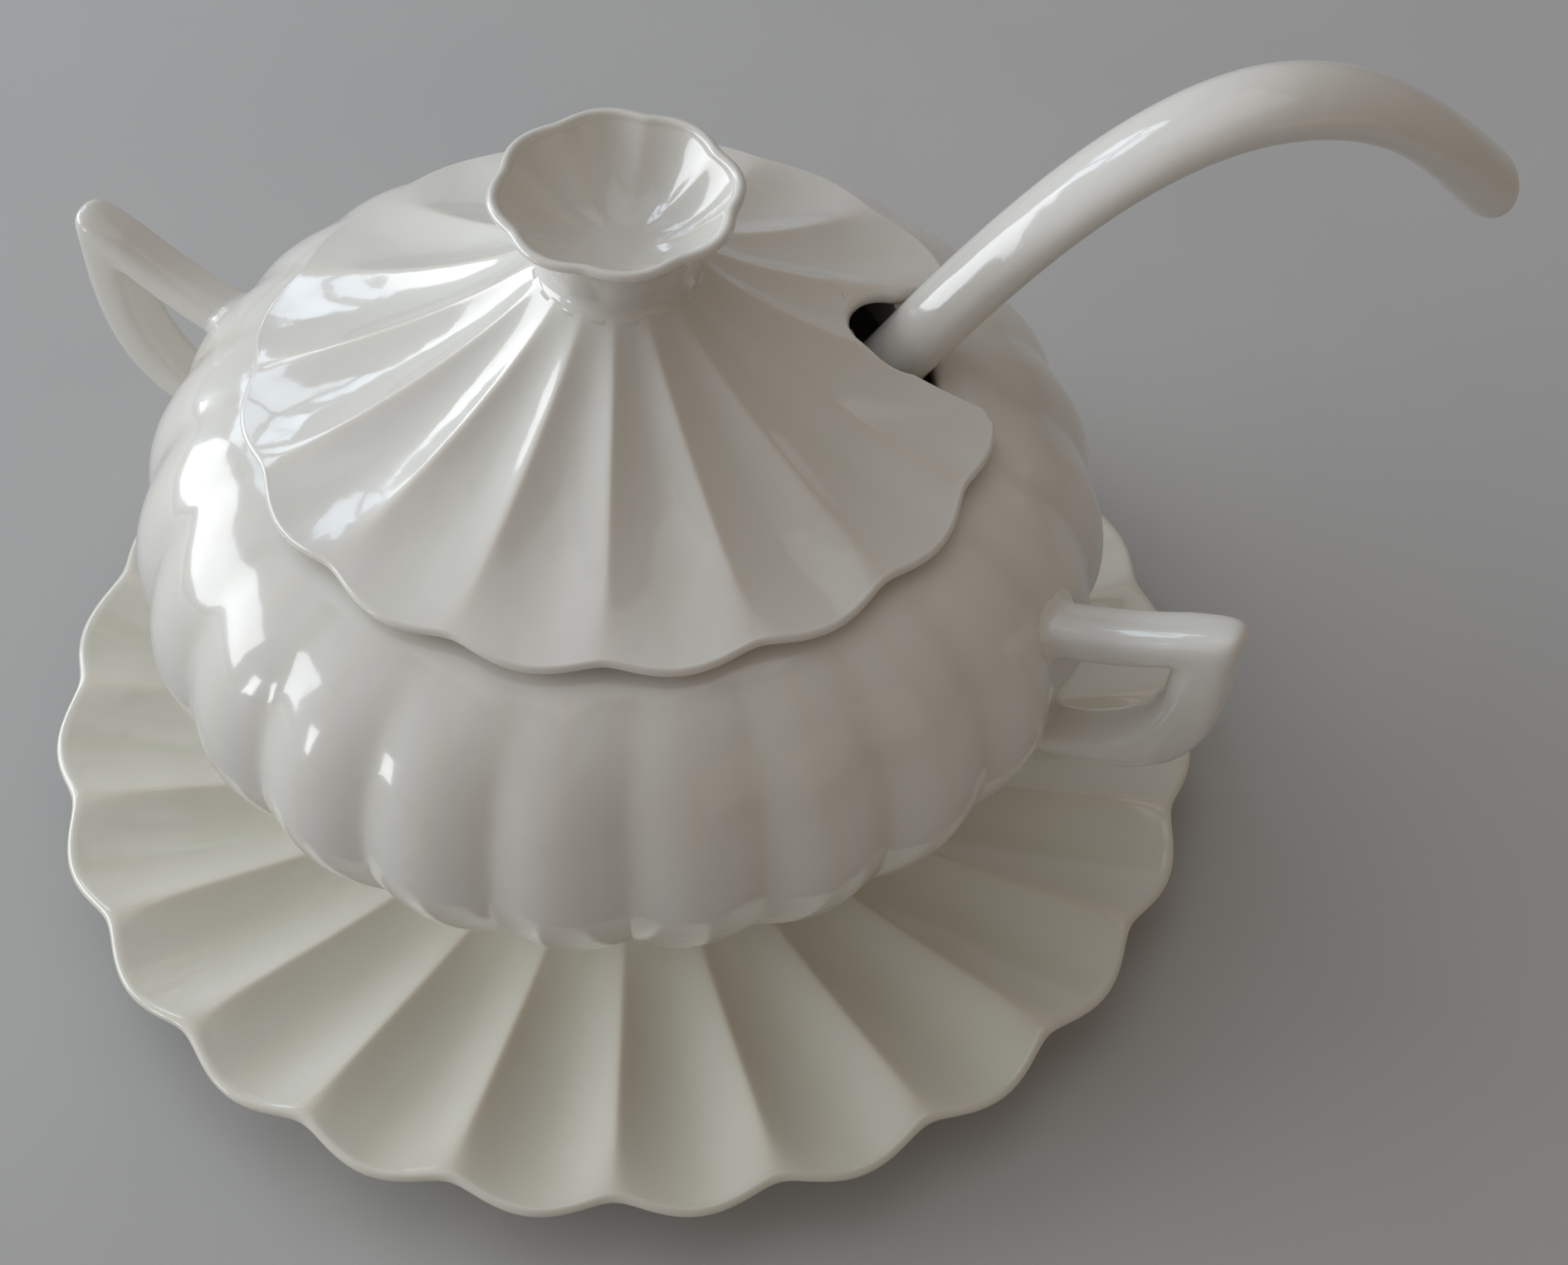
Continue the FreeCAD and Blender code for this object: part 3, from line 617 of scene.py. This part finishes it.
def make_ear(name, node, angle):
    stations = []
    for (outer, inner), steps in zip(ear_lines(), (70, 24, 24, 70)):
        t = np.linspace(0, 1, steps)[:-1]
        for edge, back in zip(bezier(outer, t), bezier(inner, t)):
            stations.append((edge, back, EAR_WIDTH))
    grid = bar_grid(stations, SQUARISH)
    out = clearance(grid)
    kept = out.max(axis=1) > -2.5
    grid, out = grid[kept], out[kept]
    fillet = EAR_FILLET - np.sqrt(EAR_FILLET**2 - np.clip(EAR_FILLET - out, 0, EAR_FILLET)**2)
    middle = grid.mean(axis=1, keepdims=True)
    away = grid - middle
    grid = grid + away * (fillet / np.linalg.norm(away, axis=2))[..., None]
    grid[..., 0] -= clearance(grid) - out
    grid = closed_bar(grid)
    glaze_pool_and_shade = np.full(grid.shape[:2], 0.45)
    return make_piece(name, [(rotated(grid, angle), quads(*grid.shape[:2]), glaze_pool_and_shade)],
                      "tureen", [node], BOWL_GLAZE)


# ---- lid --------------------------------------------------------------------------------------

def lid_lines():
    neck = (NECK_RADIUS + 1, NECK_Z)
    edge = (RIM_RADIUS + LID_OVERHANG - LID_LIP / 2, LID_Z)
    run = edge[0] - neck[0]
    sag = LID_SAG * 4 / 3
    deep = LID_FLUTE_DEPTH * 4 / 3
    ridge = [neck, (neck[0] + 0.27 * run, NECK_Z - 0.27 * LID_RISE - sag),
             (neck[0] + 0.64 * run, NECK_Z - 0.64 * LID_RISE - sag), edge]
    floor = [neck, (ridge[1][0], ridge[1][1] - deep), (ridge[2][0] + 2, ridge[2][1] - deep),
             (edge[0] + LID_LOBE, LID_Z - LID_DROP)]
    return ridge, floor


NOTCH_RADIUS = SHAFT_WIDTH / 2 + NOTCH_GAP
NOTCH_MIDDLE = GATE[0] - NOTCH_BACK
NOTCH_SLOPE = NOTCH_FLARE / (GATE_INSET + NOTCH_BACK + RIM_WIDTH + LID_OVERHANG + 2 * LID_LOBE)
NOTCH_TIP = NOTCH_MIDDLE - NOTCH_RADIUS
# radius at which the notch leaves the lid, and the rounding of its corners there
NOTCH_CORNER = 89.7
NOTCH_ROUND = 3.2
NOTCH_WAY = math.radians(LADLE_ANGLE + NOTCH_TURN)


def notch_angle(radius):
    """Half the angle that the notch takes at a radius, with its outer corners rounded."""
    r = np.maximum(np.asarray(radius, dtype=float), 1.0)
    cosine = (r**2 + NOTCH_MIDDLE**2 - NOTCH_RADIUS**2) / (2 * r * NOTCH_MIDDLE)
    curved = np.arccos(np.clip(cosine, -1, 1))
    flare = curved.copy()
    for _ in range(12):
        half = NOTCH_RADIUS + (r * np.cos(flare) - NOTCH_MIDDLE) * NOTCH_SLOPE
        flare = np.arcsin(np.clip(half / r, -1, 1))
    angle = np.where(r * np.cos(curved) > NOTCH_MIDDLE, flare, curved)
    angle = np.where(r > NOTCH_MIDDLE + 1, flare, angle)
    angle = np.where(r <= NOTCH_TIP, 0, angle)
    past = np.clip((r - (NOTCH_CORNER - NOTCH_ROUND)) / NOTCH_ROUND, 0, 1)
    return angle + NOTCH_ROUND * (1 - np.sqrt(1 - past**2)) / r


def notch_outline():
    """Points of the notch's edge in plan, both sides."""
    radius = np.concatenate([NOTCH_TIP + np.linspace(0, 1, 60) ** 2 * 3,
                             np.linspace(NOTCH_TIP + 3, 93, 160)])
    angle = notch_angle(radius)
    points = [np.stack([radius * np.cos(NOTCH_WAY + side * angle),
                        radius * np.sin(NOTCH_WAY + side * angle)], axis=1)
              for side in (1, -1)]
    return np.concatenate(points)


def distance_to(points, outline):
    """Smallest distance from each point to the outline's points."""
    found = np.empty(len(points))
    for start in range(0, len(points), 4000):
        part = points[start:start + 4000]
        gaps = np.hypot(part[:, None, 0] - outline[None, :, 0],
                        part[:, None, 1] - outline[None, :, 1])
        found[start:start + 4000] = gaps.min(axis=1)
    return found


LID_PITCH = 2 * math.pi / LID_FLUTES
FIRST_RIDGE = math.radians(LID_TURN)
LID_SHARES = np.linspace(0, 1, 121)
LID_SOFT = 0.9
LID_RIM_SOFT = 2.4
LID_FLARE_FROM = 62
# half angle beside the notch in which the lid's columns follow its edge
NOTCH_WINDOW = 0.60
FAR = 99.0


def lid_steps(ridge, floor):
    """Parameters of the lid's rows, closer together at the notch's tip and its corners."""
    steps = np.linspace(0, 1, 49)
    fine = np.linspace(0, 1, 800)
    radius, _, angle = softened(bezier(ridge, fine), bezier(floor, fine), LID_FLUTES,
                                LID_SHARES, np.full(len(fine), LID_SOFT))
    ahead = np.mod(NOTCH_WAY - FIRST_RIDGE, LID_PITCH) - LID_PITCH / 2
    notch_radius = [np.interp(ahead, a, r) for a, r in zip(angle, radius)]
    near_tip = NOTCH_TIP + np.array([-2.4, -1.8, -1.2, -0.7, -0.3, 0, 0.06, 0.2, 0.45, 0.9, 1.5,
                                     2.3])
    near_corner = NOTCH_CORNER + np.array([-3.4, -2.2, -1.3, -0.6, -0.2, 0.1])
    extra = np.interp(np.concatenate([near_tip, near_corner]), notch_radius, fine)
    keep = [s for s in steps if np.abs(extra - s).min() > 0.004 or s in (0, 1)]
    return np.unique(np.concatenate([keep, extra]))


def lid_columns():
    """Angles of the lid's columns from the notch's middle, closer together beside it."""
    close = np.concatenate([[0, 0.003, 0.007], np.linspace(0.011, NOTCH_WINDOW, 150)[:-1]])
    ridges = FIRST_RIDGE + LID_PITCH * np.arange(2 * LID_FLUTES) - NOTCH_WAY
    circle = np.array([[NECK_RADIUS + 31.0, NECK_Z]])
    lobe_angles = arc_points(circle, circle, LID_FLUTES, LOBE_SHARES)[2][0] + LID_PITCH / 2
    open_side = (ridges[:, None] + lobe_angles[None, :]).ravel()
    open_side = np.unique(np.round(open_side[(open_side > NOTCH_WINDOW)
                                             & (open_side < 2 * math.pi - NOTCH_WINDOW)], 9))
    return np.concatenate([close, open_side, 2 * math.pi - close[::-1]])


def notch_distance(r, turn, offset):
    """Distance in plan from each vertex to the notch's edge; FAR away from the notch."""
    plan = np.stack([r * np.cos(turn), r * np.sin(turn)], axis=2)
    gap = np.full(r.shape, FAR)
    close_by = (offset < NOTCH_WINDOW)[None, :] & (r > NOTCH_TIP - 6)
    gap[close_by] = distance_to(plan[close_by], notch_outline())
    gap[(offset == 0)[None, :] & (r >= NOTCH_TIP - 0.05)] = 0
    return gap


def make_lid():
    ridge, floor = lid_lines()
    t = lid_steps(ridge, floor)
    top_groove, top_crown = bezier(ridge, t), bezier(floor, t)
    lip_t = np.linspace(0, 1, 13)[1:-1]
    lip_groove = bezier(lip_line(ridge[-1], LID_LIP), lip_t)
    lip_crown = bezier(lip_line(floor[-1], LID_LIP), lip_t)
    thick = thinned(t, LID_WALL, LID_LIP)
    down = np.stack([np.zeros(len(t)), thick], axis=1)
    groove = np.concatenate([top_groove, lip_groove, (top_groove - down)[::-1]])
    crown = np.concatenate([top_crown, lip_crown, (top_crown - down)[::-1]])
    edge = ridge[-1][0]
    share = np.clip((groove[:, 0] - LID_FLARE_FROM) / (edge - LID_FLARE_FROM), 0, 1)
    soft = LID_SOFT + LID_RIM_SOFT * share ** 3

    # radius and height of every row as a function of the angle within a flute
    radius, height, angle = softened(groove, crown, LID_FLUTES, LID_SHARES, soft)

    def at(columns_angle):
        """Radius and height of every row at the given angles from the notch's middle."""
        inside = np.mod(columns_angle + NOTCH_WAY - FIRST_RIDGE, LID_PITCH) - LID_PITCH / 2
        r = np.empty_like(inside)
        z = np.empty_like(inside)
        for row in range(len(groove)):
            r[row] = np.interp(inside[row], angle[row], radius[row])
            z[row] = np.interp(inside[row], angle[row], height[row])
        return r, z

    columns = lid_columns()
    side = np.where(columns > math.pi, -1.0, 1.0)
    offset = np.where(columns > math.pi, 2 * math.pi - columns, columns)
    warped = np.broadcast_to(offset, (len(groove), len(columns))).copy()
    for _ in range(6):
        r, z = at(side * warped)
        taken = notch_angle(r)
        warped = np.where(offset < NOTCH_WINDOW,
                          taken + offset * (NOTCH_WINDOW - taken) / NOTCH_WINDOW, offset)
    r, z = at(side * warped)
    turn = NOTCH_WAY + side * warped

    # the sheet's edge is rounded along the notch
    gap = notch_distance(r, turn, offset)
    shrink = np.sqrt(1 - (1 - np.clip(gap / (LID_LIP / 2), 0, 1)) ** 2)
    lips = slice(len(t), len(t) + len(lip_t))
    half_way = np.empty_like(z)
    half_way[:lips.start] = z[:lips.start] - thick[:, None] / 2
    half_way[lips.stop:] = z[lips.stop:] + thick[::-1, None] / 2
    half_way[lips] = half_way[lips.start - 1]
    z = half_way + (z - half_way) * shrink
    rim = r[lips.start - 1]
    r[lips] = rim + (r[lips] - rim) * shrink[lips]
    grid = np.stack([r * np.cos(turn), r * np.sin(turn), z], axis=2)

    # glaze pooling and painted shade: darker down each flute's hollow, thin glaze on the ridges, lip
    # and notch edge
    inside = np.mod(side * warped + NOTCH_WAY - FIRST_RIDGE, LID_PITCH) / LID_PITCH
    glaze_pool_and_shade = np.minimum(inside, 1 - inside) * 2
    glaze_pool_and_shade[lips] = 0.12
    glaze_pool_and_shade = np.where(gap < 1.5, 0.12, glaze_pool_and_shade)
    faces = quads(*grid.shape[:2], wrap_columns=False, wrap_rows=True)
    return make_piece("lid_shell", [(grid, faces, glaze_pool_and_shade)], "lid", ["lid_cover"],
                      LID_GLAZE)


# ---- knob ---------------------------------------------------------------------------------------

def make_knob():
    wall = KNOB_WALL
    neck = NECK_RADIUS
    rim = KNOB_RADIUS
    top = NECK_Z + KNOB_HEIGHT - wall / 2
    tall = top - NECK_Z
    floor = NECK_Z + KNOB_FLOOR
    outer = [(neck, NECK_Z), (neck - 1, NECK_Z + 0.3 * tall), (rim - 6, NECK_Z + 0.66 * tall),
             (rim, top)]
    inner = [(rim - wall, top), (rim - 6 - wall, floor + 0.5 * (top - floor)),
             (0.4 * rim, floor), (0.15 * rim, floor)]
    outer_crown = swollen(outer, KNOB_LOBE, (0.35, 0.7, 1, 1))
    inner_crown = swollen(inner, KNOB_LOBE, (1, 1.5, 1.7, 0))
    reach = wall * 2 / 3

    def crest(start, end):
        return [start, (start[0], start[1] + reach), (end[0], end[1] + reach), end]

    base = NECK_Z - 1.5
    rows = round_rows([(0, base), (neck, base)])
    rows += round_rows([(neck + 2.4, NECK_Z - 2.7), (neck + 2.9, NECK_Z - 1.9),
                        (neck + 1.9, NECK_Z - 0.9), (neck + 1.1, NECK_Z + 0.2),
                        (neck + 0.5, NECK_Z + 1.5)], 1.0)
    t = np.linspace(0.16, 1, 34)[:-1]
    rows += list(zip(bezier(outer, t), bezier(outer_crown, t), np.full(len(t), 1.1)))
    rows += span_rows(crest(outer[-1], inner[0]), crest(outer_crown[-1], inner_crown[0]), 12,
                      1.6, 1.2)
    rows += span_rows(inner, inner_crown, 30, 1.2, 0.5, last=True)
    rows += round_rows([(0.08 * rim, floor), (0, floor)])
    grid, near = fluted_grid(rows, KNOB_LOBES, KNOB_TURN)
    # glaze pooling and painted shade: darker in the outside grooves and down the inside flutes
    glaze_pool_and_shade = np.clip(1 - near, 0.15, 0.9)
    inside = np.array([row[0][1] < top - 0.5 and row[0][0] < rim - wall for row in rows])
    inside[:len(t) + 6] = False
    glaze_pool_and_shade[inside] = near[inside]
    return make_piece("lid_knob_cup", [(grid, quads(*grid.shape[:2]), glaze_pool_and_shade)], "lid",
                      ["lid_knob"], LID_GLAZE)


# ---- ladle ----------------------------------------------------------------------------------------

def shaft_line():
    root = (-LADLE_WALL / 2, FLOOR_Z + LADLE_GAP + LADLE_DEPTH - 4)
    arch = (GATE[0] + ARCH_REACH, GATE[1] + ARCH_RISE)
    tip = (arch[0] + TIP_REACH, arch[1] - TIP_DROP)
    run = GATE[0] - root[0]
    climb = GATE[1] - root[1]
    lean = (0.31 * run, 0.29 * climb)
    rise = [root, (root[0] + 0.27 * run, root[1] + 0.31 * climb),
            (GATE[0] - lean[0], GATE[1] - lean[1]), GATE]
    over = [GATE, (GATE[0] + 0.93 * lean[0], GATE[1] + 0.93 * lean[1]),
            (arch[0] - 0.39 * ARCH_REACH, arch[1]), arch]
    down = [arch, (arch[0] + 0.46 * TIP_REACH, arch[1]),
            (tip[0] - 0.27 * TIP_REACH, tip[1] + 0.46 * TIP_DROP), tip]
    return rise, over, down


def unit(a, b):
    length = math.hypot(b[0] - a[0], b[1] - a[1])
    return ((b[0] - a[0]) / length, (b[1] - a[1]) / length)


def station(point, way, half, width):
    return ((point[0] - way[1] * half, point[1] + way[0] * half),
            (point[0] + way[1] * half, point[1] - way[0] * half), width)


def shaft_spans():
    thick = SHAFT_THICKNESS
    halves = [(0.42, 0.48), (0.48, 0.53), (0.53, 0.57)]
    widths = [(0.85, 0.95), (0.95, 1.05), (1.05, 1.1)]
    spans = []
    for line, half, width in zip(shaft_line(), halves, widths):
        ways = [unit(line[0], line[1])] * 2 + [unit(line[2], line[3])] * 2
        spans.append([station(point, way, half[end] * thick, width[end] * SHAFT_WIDTH)
                      for point, way, end in zip(line, ways, (0, 0, 1, 1))])
    tip = shaft_line()[-1][-1]
    way = unit(shaft_line()[-1][2], tip)
    blunt = []
    for ahead, share in ((0, 1), (0.25, 1), (0.38, 0.93), (0.38, 0.6)):
        point = (tip[0] + way[0] * ahead * thick, tip[1] + way[1] * ahead * thick)
        blunt.append(station(point, way, halves[-1][1] * thick * share,
                             widths[-1][1] * SHAFT_WIDTH * share))
    return spans + [blunt]


def ladle_cup():
    """Grid of the ladle's round bowl with a rounded rim, about its own axis."""
    inside = LADLE_WALL
    outline = []
    for way in np.linspace(-math.pi / 2, -0.10, 40):
        outline.append((LADLE_RADIUS * math.cos(way), LADLE_DEPTH * math.sin(way)))
    rim_out = LADLE_RADIUS
    rim_in = LADLE_RADIUS - inside
    start = outline[-1]
    outline += quarter(start, (rim_out, 0), ((rim_out + rim_in) / 2, 0), 6)[1:]
    inner = []
    for way in np.linspace(-math.pi / 2, -0.10, 36):
        inner.append((rim_in * math.cos(way), (LADLE_DEPTH - inside) * math.sin(way)))
    outline += quarter(outline[-1], (rim_in, 0), inner[-1], 6)[1:-1]
    outline += inner[::-1]
    return np.array(outline)


def make_ladle():
    stations = []
    for index, span in enumerate(shaft_spans()):
        steps = (56, 48, 40, 14)[index]
        t = np.linspace(0, 1, steps + 1)
        if index < 3:
            t = t[:-1]
        edges = bezier([s[0] for s in span], t)
        backs = bezier([s[1] for s in span], t)
        widths = bezier([(s[2], 0) for s in span], t)[:, 0]
        stations += list(zip(edges, backs, widths))
    root = np.array(shaft_line()[0][0])
    made = []
    for edge, back, width in stations:
        middle = (edge + back) / 2
        away = math.hypot(*(middle - root))
        swell = 1 + 0.22 * math.exp(-away / 9.0)
        made.append((middle + (edge - middle) * swell, middle + (back - middle) * swell,
                     width * swell))
    shaft = rotated(closed_bar(bar_grid(made, OVAL, 12)), LADLE_ANGLE)
    shaft_pool = np.full(shaft.shape[:2], 0.45)

    outline = ladle_cup()
    turns = np.linspace(0, 2 * math.pi, 128, endpoint=False)
    level = FLOOR_Z + LADLE_GAP + LADLE_DEPTH
    cup = np.stack([outline[:, :1] * np.cos(turns), outline[:, :1] * np.sin(turns),
                    np.repeat(outline[:, 1:] + level, len(turns), axis=1)], axis=2)
    way = math.radians(LADLE_ANGLE)
    cup[:, :, 0] -= LADLE_RADIUS * math.cos(way)
    cup[:, :, 1] -= LADLE_RADIUS * math.sin(way)
    cup_pool = np.full(cup.shape[:2], 0.5)
    make_piece("ladle_cup", [(cup, quads(*cup.shape[:2]), cup_pool)], "ladle",
               ["ladle_bowl"], LADLE_GLAZE)
    make_piece("ladle_shaft", [(shaft, quads(*shaft.shape[:2]), shaft_pool)], "ladle",
               ["ladle_handle"], LADLE_GLAZE)


make_plate()
make_bowl()
make_ear("handle_right_form", "handle_right", 0)
make_ear("handle_left_form", "handle_left", 180)
make_lid()
make_knob()
make_ladle()

for node, material in (("underplate_foot_ring", BISCUIT), ("bowl_foot_ring", BISCUIT),
                       ("lid_flange", LID_GLAZE)):
    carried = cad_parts[node]
    carried.data.materials.clear()
    carried.data.materials.append(material)


# ---- floor, light and camera --------------------------------------------------------------------

BACKDROP = (0.52, 0.515, 0.51)
BACKDROP_PALE = (0.55, 0.545, 0.535)
FLOOR_RADIUS = 9.0
CAMERA_PLACE = (0.1851, -0.3353, 0.5314)
CAMERA_LENS = 50.97
CAMERA_RIGHT = (0.9239, 0.3827, 0)
CAMERA_AHEAD = (-0.2382, 0.5752, -0.7826)
CAMERA_ROLL = 3.3809
MIDDLE = (0, 0, 0.12)
COOL = (0.74, 0.86, 1.0)


def make_floor():
    material, nodes, links, shader = new_material("floor_paint")
    place = nodes.new("ShaderNodeTexCoord")
    mottle = noise(nodes, links, place, 6, 4)
    tone = ramp(nodes, links, mottle.outputs["Fac"],
                [(0.3, BACKDROP), (0.7, BACKDROP_PALE)])
    links.new(tone.outputs["Color"], shader.inputs["Base Color"])
    shader.inputs["Roughness"].default_value = 0.9
    shader.inputs["Specular IOR Level"].default_value = 0.0
    mesh = bpy.data.meshes.new("floor")
    shape = bmesh.new()
    bmesh.ops.create_circle(shape, cap_ends=True, segments=96,
                              radius=FLOOR_RADIUS)
    shape.to_mesh(mesh)
    shape.free()
    floor = bpy.data.objects.new("floor", mesh)
    mesh.materials.append(material)
    bpy.context.scene.collection.objects.link(floor)


def lamp(name, place, target, width, height, radiance, colour):
    """A rectangular lamp of a given radiance that faces its target."""
    data = bpy.data.lights.new(name, "AREA")
    data.shape = "RECTANGLE"
    data.size = width
    data.size_y = height
    data.energy = radiance * math.pi * width * height
    data.color = colour
    made = bpy.data.objects.new(name, data)
    made.location = place
    made.rotation_euler = (Vector(target) - Vector(place)).to_track_quat("-Z", "Y").to_euler()
    made.visible_camera = False
    bpy.context.scene.collection.objects.link(made)


def around(turn, rise, distance):
    """A place at a compass angle and an elevation from the middle of the set, in metres."""
    turn = math.radians(turn)
    rise = math.radians(rise)
    return (distance * math.cos(rise) * math.cos(turn),
            distance * math.cos(rise) * math.sin(turn), MIDDLE[2] + distance * math.sin(rise))


def make_light():
    world = bpy.data.worlds.new("studio")
    world.use_nodes = True
    nodes = world.node_tree.nodes
    links = world.node_tree.links
    sky = nodes["Background"]
    sky.inputs["Strength"].default_value = 1.0
    way = nodes.new("ShaderNodeTexCoord")
    side = nodes.new("ShaderNodeVectorMath")
    side.operation = "DOT_PRODUCT"
    side.inputs[1].default_value = (-0.46, -0.10, 0.16)
    links.new(way.outputs["Generated"], side.inputs[0])
    centred = nodes.new("ShaderNodeMath")
    centred.inputs[1].default_value = 0.5
    links.new(side.outputs["Value"], centred.inputs[0])
    room = ramp(nodes, links, centred.outputs[0],
                [(0.05, (0.14, 0.105, 0.075)), (0.5, (0.24, 0.215, 0.19)),
                 (0.95, (0.46, 0.50, 0.55))])
    links.new(room.outputs["Color"], sky.inputs["Color"])
    seen = nodes.new("ShaderNodeBackground")
    seen.inputs["Color"].default_value = (*BACKDROP, 1)
    seen.inputs["Strength"].default_value = 1.0
    path = nodes.new("ShaderNodeLightPath")
    mix = nodes.new("ShaderNodeMixShader")
    links.new(path.outputs["Is Camera Ray"], mix.inputs["Fac"])
    links.new(sky.outputs["Background"], mix.inputs[1])
    links.new(seen.outputs["Background"], mix.inputs[2])
    links.new(mix.outputs["Shader"], nodes["World Output"].inputs["Surface"])
    bpy.context.scene.world = world

    for column in range(2):
        for row in range(2):
            place = around(152 + column * 11, 29 + row * 11, 1.6)
            lamp(f"pane_{column}_{row}", place, MIDDLE, 0.20, 0.24, 4.0, COOL)
    lamp("door", around(-129, 5, 1.6), MIDDLE, 0.16, 0.34, 7.0, (0.93, 0.97, 1.0))
    lamp("pale_wall", around(192, 16, 2.2), MIDDLE, 1.9, 1.0, 4.3, (0.92, 0.965, 1.0))
    lamp("soft_top", (-0.4, 0.2, 2.1), MIDDLE, 1.6, 1.6, 0.40, (1, 0.99, 0.97))
    lamp("warm_fill", around(-20, 25, 1.8), MIDDLE, 1.2, 0.8, 0.24, (1.0, 0.72, 0.46))


def make_camera():
    """Above and in front of the set, between the right handle and the ladle's far side."""
    data = bpy.data.cameras.new("camera")
    data.sensor_fit = "HORIZONTAL"
    data.sensor_width = 36
    data.lens = CAMERA_LENS
    data.clip_start = 0.01
    camera = bpy.data.objects.new("camera", data)
    right = Vector(CAMERA_RIGHT).normalized()
    ahead = Vector(CAMERA_AHEAD).normalized()
    up = right.cross(ahead)
    roll = math.radians(CAMERA_ROLL)
    rolled_right = math.cos(roll) * right + math.sin(roll) * up
    rolled_up = math.cos(roll) * up - math.sin(roll) * right
    axes = Matrix((rolled_right, rolled_up, -ahead)).transposed().to_4x4()
    camera.matrix_world = Matrix.Translation(CAMERA_PLACE) @ axes
    bpy.context.scene.collection.objects.link(camera)
    bpy.context.scene.camera = camera


make_floor()
make_light()
make_camera()
bpy.context.scene.view_settings.view_transform = "Standard"
